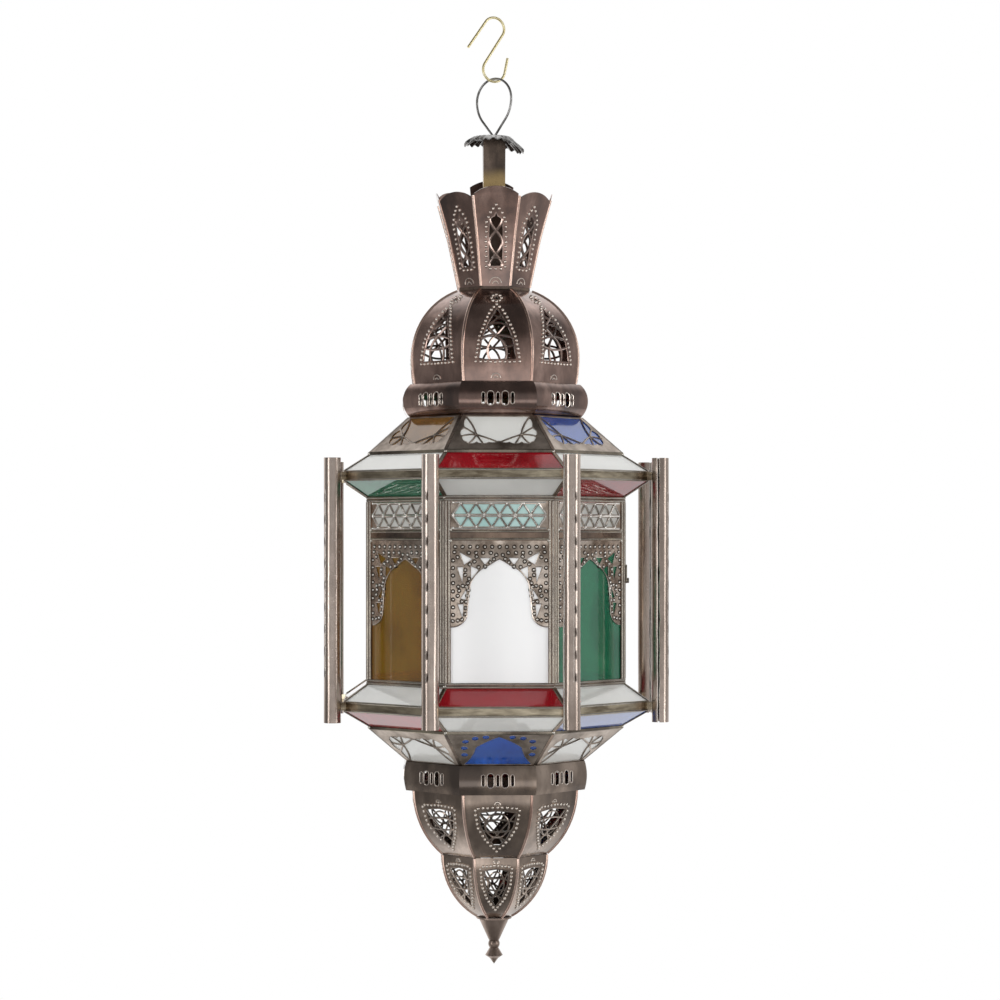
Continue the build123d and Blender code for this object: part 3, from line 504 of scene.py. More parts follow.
def stave(name, section, top_points, windows, runs, rows, marks=(), bar=BAR):
    """A bent stave with lattice windows, bead rows and punch marks, on face 0."""
    cuts = section.heights(5)[1:-1]
    holes = [window for window, laced in windows]
    sheet = bend(cut_sheet(name, stave_outline(section, top_points), holes, cuts), section.place)
    laces = []
    for window, laced in windows:
        if laced:
            for run in runs:
                laces += clipped(run, window)
    pieces = [sheet]
    if laces:
        pieces.append(polish_and_shade_mark(bars(name + "_lattice", laces, bar, section.place, bar_lift), 0.3))
    rims = [window + window[:1] for window, laced in windows]
    pieces.append(polish_and_shade_mark(bars(name + "_rims", rims, RIM, section.place, -0.1), 0.3))
    pieces.append(polish_and_shade_mark(beads(name + "_beads", rows, BEAD, section.place), 1.0))
    if marks:
        pieces.append(polish_and_shade_mark(bars(name + "_marks", marks, PUNCH, section.place, 0.0), 0.9))
    return join(name, pieces)


def crescent(x, y, size):
    """A curved punch mark, open downwards, with a smaller one in it."""
    outer_foot = y - size * 0.6
    inner_foot = y - size * 0.7
    inner = size * 0.5
    return [
        arc((x - size, outer_foot), (x, y + size * 0.4), (x + size, outer_foot)),
        arc((x - inner, inner_foot), (x, y - size * 0.3), (x + inner, inner_foot), 4),
    ]


def sine_run(reach, low_end, high_end, crossings, side):
    """A strip that swings from side to side and crosses the middle at two heights."""
    first, second = crossings
    count = 28
    run = []
    for i in range(count + 1):
        h = low_end + (high_end - low_end) * i / count
        run.append((side * reach * math.sin(math.pi * (h - first) / (second - first)), h))
    return run


# %% [markdown]
# ### Crown
#
# Eight petals flare out from the neck, and the rear ones stand taller than the front ones. They could be
# one turned shape cut into eight, but then all would have one height. So each petal is drawn for its own
# face and turned into place.


# %% Crown petals
def petal(face):
    """One petal of the crown with its tall window."""
    rise = crown_rise.get(face, 0.0)
    section = crown_section(rise)
    corner = neck + 68.0 + rise
    half = section.half_width(corner)
    top = arc((-half, corner), (0, corner + 5.6), (half, corner), 14)
    base = neck + 15.0
    half_slot = 4.9
    window = mirror_loop([
        (0, base + 39.5), (1.3, base + 36.8), (5.0, base + 34.4),
        (5.3, base + 25.0), (5.3, base + 11.0), (half_slot, base),
    ])
    crossings = (base + 8.6, base + 26.0)
    runs = [sine_run(half_slot, base, base + 34.6, crossings, side) for side in (1, -1)]
    runs += [arc((-half_slot, base), (0, base + 6.4), (half_slot, base), 10)]
    side_row = [
        (7.2, base - 0.4), (7.5, base + 18.0), (7.3, base + 33.0), (4.4, base + 39.4), (0, base + 45.0),
    ]
    rows = spaced(side_row, 3.7)
    rows += mirrored(rows[:-1])
    rows += spaced([(-3.9, base - 2.2), (3.9, base - 2.2)], 3.9)
    marks = crescent(0, neck + 5.0, 4.4)
    return stave("petal", section, top, [(window, True)], runs, rows, marks, 1.1)


petals = []
for face in FACES:
    petals += turned(petal(face), [face])
settle(join("crown_of_petals", petals), "lantern", "copper_sheet", "crown_petals")

# %% [markdown]
# ### Dome
#
# The dome is made of eight staves that bulge and meet under ribs. A sphere would be round across the faces
# too, and the real dome is flat across each of them. One gore is drawn and bent, and its copies are turned
# round.


# %% Dome gores
def dome_pattern():
    """One gore of the dome: a bead ring above a pointed window, laced like a globe."""
    base = dome_foot + 16.3
    apex = base + 39.4
    section = dome_section
    width = section.half_width(dome_top)
    top = [(-width, dome_top), (width, dome_top)]
    right = [
        (0, apex), (3.0, apex - 5.6), (6.4, apex - 11.0), (9.6, apex - 18.4), (11.6, apex - 23.6),
        (13.2, base + 5.0), (14.0, base),
    ]
    window = mirror_loop(right)
    globe = base + 18.0
    lower_girdle = base + 9.0
    runs = [
        arc((-13.0, lower_girdle + 1.0), (0, lower_girdle - 0.4), (13.0, lower_girdle + 2.2)),
        arc((-12.4, globe - 1.8), (-1.0, globe + 0.6), (12.4, globe - 2.0)),
        arc((-5.8, base), (-7.2, lower_girdle), (-1.2, globe + 0.2)) + [(5.2, base + 25.4)],
        arc((5.8, base), (6.2, lower_girdle), (-1.2, globe + 0.2)) + [(-6.4, base + 24.0)],
        arc((-7.4, base + 24.2), (0, base + 27.8), (9.6, base + 22.8)),
        [(-4.6, base + 35.0), (1.2, base + 32.0), (7.4, base + 28.2)],
        [(5.4, base + 37.0), (1.2, base + 32.0), (-5.4, base + 27.2)],
    ]
    edge = [
        (16.4, base - 1.6), (15.6, base + 5.0), (13.8, base + 16.0), (12.0, base + 21.0), (8.6, base + 29.0),
        (5.0, apex - 2.4), (0, apex + 3.0),
    ]
    rows = spaced(edge, 3.3)
    rows += mirrored(rows[:-1])
    rows += spaced([(-12.6, base - 1.8), (12.6, base - 1.8)], 3.6)
    eyelet = ring_line(0, apex + 8.2, 1.7, 1.3, 10)
    rows += ring_line(0, apex + 8.2, 3.7, 2.9, 8)
    marks = crescent(-1.2, dome_foot + 4.6, 3.4)
    return stave("dome_gore", section, top, [(window, True), (eyelet, False)], runs, rows, marks)


dome = join("pierced_dome", turned(dome_pattern(), FACES))
settle(dome, "lantern", "copper_sheet", "dome_gores")

# %% [markdown]
# ### Bowl and pendant
#
# Below the glass hang two smaller tiers of the same make, with windows that point down. They differ only in
# size, so one drawing that takes its sizes as arguments serves both.


# %% Bowl and pendant gores
def hanging_pattern(name, section, half, top_drop, point_drop, pitch):
    """A gore whose window hangs point down, with a mesh of arcs in it."""
    width = section.half_width(section.top)
    top = [(-width, section.top), (width, section.top)]
    high_edge = section.top - top_drop
    point = section.top - point_drop
    depth = high_edge - point
    right = [
        (0, high_edge + 1.6), (half * 0.55, high_edge + 0.9), (half, high_edge),
        (half * 0.86, high_edge - depth * 0.38), (half * 0.48, high_edge - depth * 0.74), (0, point),
    ]
    window = mirror_loop(right)
    middle = high_edge - depth * 0.36
    oval = half * 0.62
    cross_foot = point + depth * 0.12
    low_arc = point + depth * 0.2
    runs = [
        ring_line(0, middle, oval, depth * 0.34) + [(oval, middle)],
        arc((-half, middle + depth * 0.1), (0, middle + depth * 0.16), (half, middle + depth * 0.1)),
        arc((-half, middle - depth * 0.12), (0, middle - depth * 0.18), (half, middle - depth * 0.12)),
        [(-half, high_edge), (half * 0.42, cross_foot)],
        [(half, high_edge), (-half * 0.42, cross_foot)],
        arc((-half * 0.5, low_arc), (0, point + depth * 0.3), (half * 0.5, low_arc), 6),
    ]
    edge = [
        (half + 2.2, high_edge + 1.8), (half * 0.86 + 2.4, high_edge - depth * 0.38),
        (half * 0.48 + 2.4, high_edge - depth * 0.74), (0, point - 3.0),
    ]
    rows = spaced(edge, pitch)
    rows += mirrored(rows[:-1])
    rows += spaced([(-half, high_edge + 3.4), (0, high_edge + 4.4), (half, high_edge + 3.4)], pitch)
    marks = crescent(0, high_edge + 7.4, 2.2)
    return stave(name, section, top, [(window, True)], runs, rows, marks, 0.7)


bowl_gore = hanging_pattern("bowl_gore", bowl_section, 14.4, 13.8, 41.5, 3.5)
bowl = join("pierced_bowl", turned(bowl_gore, FACES))
settle(bowl, "lantern", "copper_sheet", "bowl_gores")
pendant_gore = hanging_pattern("pendant_gore", pendant_section, 9.8, 10.0, 38.5, 3.0)
pendant = join("pierced_pendant", turned(pendant_gore, FACES))
settle(pendant, "lantern", "copper_sheet", "pendant_gores")

# %% [markdown]
# ### Ribs over the joints
#
# A half-round strip of brighter copper is soldered over each joint between staves. A bevelled curve that
# follows the corner of the section gives its round back, and eight turned copies cover all the joints.

# %% Ribs
RIB = 1.15
rib_sink = -0.35
corner_turn = math.radians(-90 + 22.5)


def corner_place(section, extra):
    """The placing rule for a line that runs down the corner between two faces."""
    def rule(across, height, lift):
        reach, outward = section.at(max(min(height, section.top), section.foot))
        out = (reach + extra + outward.x * lift) * CORNER_STRETCH
        across_axis = out * math.cos(corner_turn)
        return Vector((across_axis, out * math.sin(corner_turn), height + outward.y * lift)) * MM
    return rule


def ribs(name, section, top, foot, node):
    """Half-round strips down the eight corners."""
    heights = [top] + [h for h in section.heights(5) if foot < h < top] + [foot]
    strip = bars(name, [[(0, h) for h in heights]], RIB, corner_place(section, rib_sink), 0.0, 3)
    return settle(join(name, turned(strip, FACES)), "lantern", "copper_rib", node)


ribs("crown_joint_ribs", crown_section(0), neck + 66.6, neck + 0.5, "crown_ribs")
ribs("dome_joint_ribs", dome_section, dome_top - 0.5, dome_foot + 0.5, "dome_ribs")
ribs("bowl_joint_ribs", bowl_section, bowl_top - 0.5, bowl_foot + 0.5, "bowl_ribs")
ribs("pendant_joint_ribs", pendant_section, pendant_top - 0.5, pendant_foot + 0.5, "pendant_ribs")

# %% [markdown]
# ### Lips of the collar slots
#
# The slots in the two collars were punched from behind, so each has a raised lip that catches the light. A
# thin bar round each slot is enough.

# %% Collar lips
slot_pitch = 5.45
wide_slot = (2.55, 5.45)
narrow_slot = (1.3, 4.4)


def slot_line(x, y, across, up):
    """A closed upright line with straight sides and round ends."""
    end = arc((x + across, y + up - across), (x, y + up), (x - across, y + up - across), 8)
    return end + [(2 * x - px, 2 * y - py) for px, py in end]


def collar_lips(name, node, lip, belly):
    """Raised lips round the five slots on each face of a collar."""
    middle = (high(node) + low(node)) / 2
    section = Section([(lip, high(node)), (belly, middle), (lip, low(node))])
    loops = [slot_line(slot_pitch * step, middle, *wide_slot) for step in (-1, 1)]
    loops += [slot_line(slot_pitch * step, middle, *narrow_slot) for step in (-2, 0, 2)]
    lips = polish_and_shade_mark(bars(name, [loop + loop[:1] for loop in loops], 0.4, section.place, -0.1), 0.8)
    return settle(join(name, turned(lips, FACES)), "lantern", "copper_sheet")


collar_lips("upper_collar_lips", "upper_collar", 64.5, 70.2)
collar_lips("lower_collar_lips", "lower_collar", 67.8, 69.4)

# %% [markdown]
# ## Frets on the glass
#
# Each slanting pane and each wall pane carries a thin pierced sheet, cut as leaves and arches. They lie
# flat on the glass, so one placing rule per tier is enough: across the face, up its slope, and out from the
# glass.

# %% Placing rules for flat faces
FRET = 0.6


def slope(outer_top, outer_foot, z_top, z_foot):
    """The rule for a slanting face, given by its outside at top and foot. Up runs along it from its foot."""
    run = outer_top - outer_foot
    climb = z_top - z_foot
    length = math.hypot(run, climb)

    def rule(across, up, lift):
        reach = outer_foot + run * up / length + climb / length * lift
        height = z_foot + climb * up / length - run / length * lift
        return Vector((across, -reach, height)) * MM
    return rule


def wall(outside):
    """The rule for an upright face. Up is the real height."""
    def rule(across, up, lift):
        return Vector((across, -(outside + lift), up)) * MM
    return rule


glass_outside = 96.3
hip_apothem = 95.4
rim_apothem = 113.9
wall_apothem = 96.9
roof_apothem = 65.9
cone_apothem = 66.0
fret_margin = 1.3
roof_place = slope(roof_apothem, hip_apothem, roof_top, roof_foot)
cone_place = slope(hip_apothem, cone_apothem, cone_top, cone_foot)
wall_place = wall(glass_outside)
roof_length = math.hypot(hip_apothem - roof_apothem, roof_top - roof_foot)
cone_length = math.hypot(hip_apothem - cone_apothem, cone_top - cone_foot)
print("slopes:", round(roof_length, 1), "and", round(cone_length, 1), "mm long")

# %% [markdown]
# ### Roof frets
#
# On each roof pane a fan of thin bars springs from a knot in both lower corners. Cutting every small
# opening by itself would leave sharp slivers of sheet. Here the fret has one scalloped opening, and round
# bars are laid across it.


# %% Roof frets: a fan of thin bars in each lower corner
def slope_outline(foot_apothem, top_apothem, length, margin):
    """The four corners of a slanting face, less the lead strips at its sides."""
    foot_half = foot_apothem * CORNER_TAN - margin
    top_half = top_apothem * CORNER_TAN - margin
    return [(-foot_half, 0.15), (foot_half, 0.15), (top_half, length - 0.15), (-top_half, length - 0.15)]


def both(lines):
    """Each line and its mirror image."""
    return lines + [mirrored(line) for line in lines]


def fan_opening(length):
    """The scalloped opening of a fret, with its wide edge low."""
    return mirror_loop(
        [(23.8, length - 1.6)]
        + arc((24.0, 36.0), (25.5, 30.5), (25.0, 25.5), 5)
        + arc((25.4, 25.0), (28.2, 21.0), (27.8, 16.0), 5)
        + arc((27.2, 15.4), (26.8, 11.6), (24.4, 8.8), 5)
        + arc((24.0, 8.8), (20.4, 6.8), (16.8, 8.6), 5)
        + arc((16.4, 8.6), (12.0, 6.7), (7.6, 8.4), 5)
        + arc((7.2, 8.4), (4.0, 7.8), (0.7, 9.6), 5)
    )


knot = (16.6, 17.5)
fan_knots = mirrored([knot]) + [knot]


def fan_bars(length):
    """Thin bars that spread from a knot in each low corner of the opening."""
    return both([
        arc((23.8, length - 1.8), (18.4, 26.0), knot, 8),
        arc(knot, (8.4, 13.4), (0.5, 8.6), 8),
        arc(knot, (22.6, 17.2), (28.2, 15.4), 4),
        arc(knot, (21.2, 22.0), (25.6, 26.0), 4),
        arc(knot, (18.6, 12.6), (22.0, 7.6), 4),
        arc(knot, (14.4, 12.6), (11.8, 7.0), 4),
    ])


def fret(name, outline, holes, place, lines, knots):
    """A pierced sheet on the glass, with raised bars and knots."""
    sheet = bend(cut_sheet(name, outline, holes), place, -FRET)
    pieces = [sheet]
    if lines:
        pieces.append(polish_and_shade_mark(bars(name + "_bars", lines, 0.72, place, 0.2), 0.2))
    rims = [hole + hole[:1] for hole in holes]
    pieces.append(polish_and_shade_mark(bars(name + "_rims", rims, 0.35, place, 0.42), 0.3))
    if knots:
        pieces.append(polish_and_shade_mark(beads(name + "_knots", knots, 1.3, place, 0.2), 0.3))
    return join(name, pieces)


roof_outline = slope_outline(hip_apothem, roof_apothem, roof_length, fret_margin)
roof_fret = fret(
    "roof_fret", roof_outline, [fan_opening(roof_length)], roof_place, fan_bars(roof_length), fan_knots)
roof_frets = settle(join("roof_leaf_frets", turned(roof_fret, FACES)), "lantern", "fret_sheet", "roof_frets")

# %% [markdown]
# ### Lower cone frets
#
# The cone under the body is the roof upside down, so its white panes take the same drawing turned over. The
# blue panes have an arch and a few round leaves instead, cut straight through the sheet.

# %% Lower cone frets: fans again on the white panes, and an arch with leaves on the blue ones
cone_outline = slope_outline(cone_apothem, hip_apothem, cone_length, fret_margin)


def upended(points):
    """A drawing for the roof, turned over for the cone, whose wide edge is high."""
    return [(x, cone_length - up) for x, up in points]


cone_fan = fret(
    "cone_fan", cone_outline, [upended(fan_opening(cone_length))], cone_place,
    [upended(line) for line in fan_bars(cone_length)], upended(fan_knots))
cone_arch = mirror_loop(
    arc((0.0, 36.4), (8.4, 31.0), (16.2, 24.4), 6)
    + arc((17.4, 22.4), (19.6, 13.0), (24.6, 3.4), 6)
    + [(25.2, 2.2)]
)
leaf_marks = [(24.6, 30.4), (25.4, 22.4), (24.9, 14.4), (17.6, 34.2), (9.8, 35.6)]
cone_leaves = both([ring_line(x, up, 2.9, 2.7, 9) for x, up in leaf_marks])
cone_leaf = fret("cone_leaf", cone_outline, [cone_arch] + cone_leaves, cone_place, [], [])
cone_pieces = turned(cone_fan, [1, 3, 5, 7]) + turned(cone_leaf, [0, 2, 4, 6])
cone_frets = settle(join("cone_leaf_frets", cone_pieces), "lantern", "fret_sheet", "cone_frets")

# %% [markdown]
# ### Wall frets
#
# Each wall has a frieze of two rows of triangles and, below it, a pointed arch with bored spandrels. Rows
# of ring punches follow the arch and the edges. The door's frets are the same drawing made narrower.

# %% The arch's holes and beads, drawn for its right half
clear_half = 35.59
door_half = 31.39
arch_span = 35.6
arch_holes = [
    [(28.9, 8.7), (20.6, 13.4), (25.7, 17.0)],
    [(14.0, 12.8), (7.0, 12.8), (10.6, 17.4)],
    [(30.8, 19.8), (26.6, 19.8), (27.2, 29.6)],
    [(20.8, 18.9), (15.6, 21.4), (20.6, 27.6)],
    [(23.6, 34.3), (24.8, 42.6), (28.2, 41.9)],
    [(30.4, 46.8), (26.4, 46.8), (27.0, 56.0)],
]
hole_growth = 1.22
arch_beads = [
    (32.9, 8.3), (30.6, 12.0), (34.0, 14.4), (34.1, 19.9), (34.0, 25.5), (34.0, 31.0), (34.0, 37.0),
    (30.6, 40.3), (34.0, 43.0), (34.0, 48.6), (34.0, 54.2), (34.2, 58.6), (4.2, 13.4), (6.9, 15.8),
    (10.6, 18.9), (15.4, 19.3), (21.8, 17.2), (18.4, 15.2), (16.8, 11.6), (22.3, 27.8), (23.3, 31.0),
    (24.2, 33.6), (26.8, 33.0), (30.2, 33.6), (29.6, 36.6), (22.8, 36.0), (23.4, 40.2), (24.4, 44.6),
    (27.6, 44.4), (24.8, 49.2), (25.2, 53.6), (27.6, 57.6), (30.6, 58.2), (25.2, 25.0), (25.0, 21.4),
    (22.5, 8.9), (17.2, 8.9), (12.0, 8.9), (6.4, 8.9), (2.4, 10.4),
]
bead_pitch = 5.4
arch_row = [(bead_pitch * step, 4.5) for step in range(7)]
print("arch beads:", len(arch_beads) + len(arch_row))


# %% The frieze, two rows of triangles
def frieze_piece(half, foot, top):
    """A strip with two rows of triangles, with a raised bead along every bar."""
    margin = 1.9
    half_bar = 0.7
    middle = (top + foot) / 2
    row = (top - foot) / 2 - margin - half_bar
    count = 11
    pitch = (half - 1.4) / 3.0
    holes = []
    lines = []
    for upper in (0, 1):
        floor_line = foot + margin if not upper else middle + half_bar
        for step in range(count):
            x = (step - (count - 1) / 2) * pitch / 2
            flat, tip = floor_line, floor_line + row
            if (step + upper) % 2 == 0:
                flat, tip = tip, flat
            lean = 1 if tip > flat else -1
            base = pitch * 0.377
            edge = flat + 0.4 * lean
            holes.append([(x - base, edge), (x + base, edge), (x, tip - 0.9 * lean)])
            lines.append([(x - pitch / 2, flat), (x, tip)])
            lines.append([(x, tip), (x + pitch / 2, flat)])
    for level in (foot + 1.0, middle, top - 1.0):
        lines.append([(1.5 - half, level), (half - 1.5, level)])
    lines = [[(max(min(x, half - 0.8), 0.8 - half), y) for x, y in line] for line in lines]
    outline = [(-half, foot), (half, foot), (half, top), (-half, top)]
    sheet = bend(cut_sheet("frieze", outline, holes), wall_place, -FRET)
    knots = [(x, level) for x, level in [line[0] for line in lines] if abs(x) < half - 1]
    return join("frieze", [
        sheet,
        polish_and_shade_mark(bars("frieze_bars", lines, half_bar, wall_place, FRET), 0.75),
        polish_and_shade_mark(beads("frieze_knots", sorted(set(knots)), 1.3, wall_place, FRET, 0.6), 0.9),
    ])


print("frieze height:", round(frieze_top - frieze_foot, 1), "mm")


# %% The spandrels of the arch
def grown(loop, times):
    """A closed line made larger about its middle."""
    x = sum(point[0] for point in loop) / len(loop)
    y = sum(point[1] for point in loop) / len(loop)
    return [(x + (px - x) * times, y + (py - y) * times) for px, py in loop]


def arch_piece(half):
    """The spandrels of the pointed arch, bored and punched."""
    spread = half / arch_span

    def drawn(points):
        return [(x * spread, arch_top - drop) for x, drop in points]
    edge = drawn(
        [(0, 13.3), (3.9, 15.4)]
        + arc((7.8, 18.0), (16.4, 23.6), (21.5, 32.0), 8)
        + [(23.0, 44.0)]
        + arc((24.0, 55.5), (28.2, 61.0), (arch_span, 63.0), 6)
    )
    outline = [(-half, arch_top), (half, arch_top)] + list(reversed(edge)) + mirrored(edge[1:])
    holes = both([drawn(grown(hole, hole_growth)) for hole in arch_holes])
    sheet = bend(cut_sheet("arch", outline, holes), wall_place, -FRET)
    rims = [edge, mirrored(edge)] + [hole + hole[:1] for hole in holes]
    centres = drawn(arch_beads + arch_row)
    centres += mirrored([point for point in centres if point[0] > 0.5])
    centres = [point for point in centres if not any(inside(point, hole) for hole in holes)]
    groove = 1.4
    # The near-black rings round the beads are painted shade: the shadow in the groove of each ring punch.
    rings = [ring_line(x, y, groove, groove, 8) + [(x + groove, y)] for x, y in centres]
    return join("arch", [
        sheet,
        polish_and_shade_mark(bars("arch_rims", rims, 0.42, wall_place, FRET), 0.35),
        polish_and_shade_mark(bars("arch_groove_shade_rings", rings, 0.5, wall_place, FRET - 0.3), -1.0),
        polish_and_shade_mark(beads("arch_beads", centres, 1.0, wall_place, FRET, 0.15), 1.0),
    ])


print("arch half span:", arch_span, "mm")

# %% Wall frets on seven faces, and narrower ones on the door
DOOR = 2
fixed = [face for face in FACES if face != DOOR]
friezes = join("triangle_friezes", turned(frieze_piece(clear_half, frieze_foot, frieze_top), fixed))
settle(friezes, "lantern", "fret_sheet", "frieze_frets")
arches = join("arch_spandrels", turned(arch_piece(clear_half), fixed))
settle(arches, "lantern", "fret_sheet", "arch_frets")
door_friezes = turned(frieze_piece(door_half, frieze_foot, high("door_frieze_fret")), [DOOR])
settle(join("door_frieze", door_friezes), "door", "fret_sheet", "door_frieze_fret")
settle(join("door_arch", turned(arch_piece(door_half), [DOOR])), "door", "fret_sheet", "door_arch_fret")

# %% [markdown]
# ## Rolled columns
#
# A column is a strip of sheet rolled by hand into a tube whose edges never quite meet. The same flat method
# works: the strip is drawn unrolled, with ragged long edges and a row of chiselled slits, sliced upright,
# and rolled up. A little unevenness in the rolling breaks up the long reflections, as on the real tubes.

# %% Columns
COLUMN_RADIUS = 6.4
column_circle = (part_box("columns")[1].x / MM - COLUMN_RADIUS) * CORNER_STRETCH
column_top = high("columns")
column_foot = low("columns")
seam_turn = math.radians(-87)
seam_gap = 1.6
slit_pitch = 16.3
slit_count = 9
pucker_step = 1.5
strip_width = math.tau * COLUMN_RADIUS - seam_gap


def column_pattern(seed):
    """One rolled strip, at the corner that looks along +X."""
    def ragged(height, edge):
        return max(1.1 * noise.noise(Vector((height * 0.09, seed * 7.3, edge * 5.1))), 0)

    def rolled(along, height, lift):
        turn = seam_turn + (along + seam_gap / 2) / COLUMN_RADIUS
        dent = 0.16 * (noise.noise(Vector((along * 0.16, height * 0.02, seed * 3.7))) - 0.35)
        reach = COLUMN_RADIUS + lift + min(dent, 0.0)
        return Vector((column_circle + reach * math.cos(turn), reach * math.sin(turn), height)) * MM
    steps = 44
    levels = [column_foot + (column_top - column_foot) * i / steps for i in range(steps + 1)]
    near_edge = [(ragged(h, 2), h) for h in levels]
    far_edge = [(strip_width - ragged(h, 1), h) for h in levels]
    slit_along = -seam_turn * COLUMN_RADIUS - seam_gap / 2
    slit_heights = [column_top - 30.0 - slit_pitch * i for i in range(slit_count)]
    slits = [ring_line(slit_along, h, 0.95, 3.6, 10) for h in slit_heights]
    upright = [strip_width * i / 28 for i in range(1, 28)]
    strip = cut_sheet("column", far_edge + near_edge[::-1], slits, upright, across=True)
    bpy.ops.object.mode_set(mode="EDIT")
    for height in levels[1:-1:2]:
        bpy.ops.mesh.select_all(action="SELECT")
        bpy.ops.mesh.bisect(plane_co=(0, height, 0), plane_no=(0, 1, 0))
    bpy.ops.object.mode_set(mode="OBJECT")
    bend(strip, rolled)
    puckers = []
    row_length = slit_heights[0] - slit_heights[-1] + 12.0
    for side in (1, -1):
        line = []
        for i in range(int(row_length / pucker_step)):
            sway = noise.noise(Vector((i * 0.83, seed * 2.9, side * 4.1)))
            along = slit_along + side * (1.55 + 0.7 * sway)
            line.append((along, slit_heights[0] + 6.0 - i * pucker_step))
        puckers.append(line)
    return join("column", [
        strip,
        polish_and_shade_mark(bars("column_puckers", puckers, 0.42, rolled, -0.42), 0.85),
        polish_and_shade_mark(bars("column_lips", [slit + slit[:1] for slit in slits], 0.35, rolled, -0.38), 0.3),
        polish_and_shade_mark(bars("column_edges", [near_edge, far_edge], 0.4, rolled, -0.42), 0.9),
    ])


rolled_columns = []
for corner in FACES:
    rolled_columns += turned(column_pattern(corner), [corner + 0.5])
settle(join("rolled_columns", rolled_columns), "lantern", "column_sheet", "columns")

# %% [markdown]
# ## Lead lines and solder
#
# The panes are held in folded tin strips. On the lantern each strip reads as one or two bright half-round
# lines with a dark groove between, and a blob of solder where strips meet. Half-round rods laid on the CAD
# rails, bands and posts give those lines, and flattened drops at the corners give the solder.


# %% Half-round lead lines
def rods(name, lines, radius):
    """Rods along straight lines between points in millimetres."""
    return wires(name, [[Vector(point) * MM for point in line] for line in lines], radius, 2)


def corner_point(apothem, height, side=1):
    """The corner of face 0 at this apothem, on its right or left."""
    return (side * apothem * CORNER_TAN, -apothem, height)


def ring_edge(apothem, height):
    """The edge of face 0 on a level ring."""
    return [corner_point(apothem, height, -1), corner_point(apothem, height)]


def hip_edge(start_apothem, start_height, end_apothem, end_height):
    """The line along the side of a slanting pane, beside its corner strip."""
    side_step = 1.25
    ends = []
    for apothem, height in ((start_apothem, start_height), (end_apothem, end_height)):
        across, out, up = corner_point(apothem + 0.35, height)
        ends.append((across - side_step, out, up))
    return ends


print("corner of the rim:", [round(v, 1) for v in corner_point(rim_apothem, band_top)])

# %% Lead lines on every tier
tiers = [
    (roof_apothem, roof_top, hip_apothem, roof_foot),
    (hip_apothem, low("upper_hip_ring"), rim_apothem, band_top),
    (rim_apothem, band_foot, wall_apothem, rail_top),
    (wall_apothem, sill_top, rim_apothem, low_band_top),
    (rim_apothem, low_band_foot, hip_apothem, high("lower_hip_ring")),
    (hip_apothem, cone_top, cone_apothem, cone_foot),
]
hip_lines = []
for tier in tiers:
    right_edge = hip_edge(*tier)
    hip_lines.append(right_edge)
    hip_lines.append([(-across, out, up) for across, out, up in right_edge])
ring_lines = []
for level in (high("upper_hip_ring"), low("lower_hip_ring")):
    ring_lines.append(ring_edge(hip_apothem - 0.2, level))
band_lead = 0.9
band_lines = []
for node, apothem in (
    ("upper_band", 114.0), ("lower_band", 114.0), ("body_top_rail", 97.0), ("body_bottom_rail", 97.0),
):
    band_lines.append(ring_edge(apothem, low(node) + band_lead))
    band_lines.append(ring_edge(apothem, high(node) - band_lead))
post_face = -97.1
post_lines = []
for side in (1, -1):
    for across in (clear_half + 1.25, clear_half + 3.7):
        post_lines.append([(side * across, post_face, wall_foot), (side * across, post_face, frieze_top)])
bar_levels = (arch_top + 1.2, frieze_foot - 1.2)
bar_lines = [[(-clear_half, post_face, level), (clear_half, post_face, level)] for level in bar_levels]
lead_pieces = []
for name, lines, radius, rub_and_shade, faces in (
    ("hip_leads", hip_lines, 0.5, -0.3, FACES), ("ring_leads", ring_lines, 0.9, 0.1, FACES),
    ("band_leads", band_lines, band_lead, 0.45, FACES), ("post_leads", post_lines, 0.95, 0.4, FACES),
    ("crossbar_leads", bar_lines, 1.0, 0.3, fixed),
):
    lead_pieces += turned(polish_and_shade_mark(rods(name, lines, radius), rub_and_shade), faces)
print("lead pieces:", len(lead_pieces))

# %% [markdown]
# ### Solder
#
# The maker leaves a drop of solder wherever strips meet, and no two are alike. A bead is put on each
# corner. Its size comes from a noise that is read at its place, so every run gives the same drops.

# %% Solder drops at the corners
drop_sink = 0.7
drop_points = []
for apothem, height in (
    (96.0, (low("upper_hip_ring") + high("upper_hip_ring")) / 2),
    (96.0, (low("lower_hip_ring") + high("lower_hip_ring")) / 2),
    (66.4, roof_top - 0.8), (66.4, cone_foot + 0.8), (97.3, rail_top - 1.5), (97.3, sill_top + 1.5),
    (114.3, band_top - 1.0), (114.3, band_foot + 1.0),
    (114.3, low_band_top - 1.0), (114.3, low_band_foot + 1.0),
):
    drop_points.append(corner_point(apothem - drop_sink, height))
for side in (1, -1):
    for level in (arch_top, frieze_foot):
        drop_points.append((side * (clear_half + 0.4), -97.0, level))


def as_placed(x, y, lift):
    """Solder is put down by its place in the list, not on a flat drawing."""
    return Vector(drop_points[round(x)]) * MM


for face in FACES:
    sizes = [1.25 + 0.8 * noise.noise(Vector((face * 1.9, i * 2.3, 0.5))) for i in range(len(drop_points))]
    for i, size in enumerate(sizes):
        drop = polish_and_shade_mark(beads("solder", [(i, 0)], size, as_placed), 1.0)
        lead_pieces += turned(drop, [face])
settle(join("lead_lines", lead_pieces), "lantern", "came_tin")

# %% [markdown]
# ### Door lines
#
# The door has lead lines as well, but they have to swing with it, so they are a piece of their own that
# rides on the door. They are thinner and lie lower than the others, which lets the turn button pass over
# them.

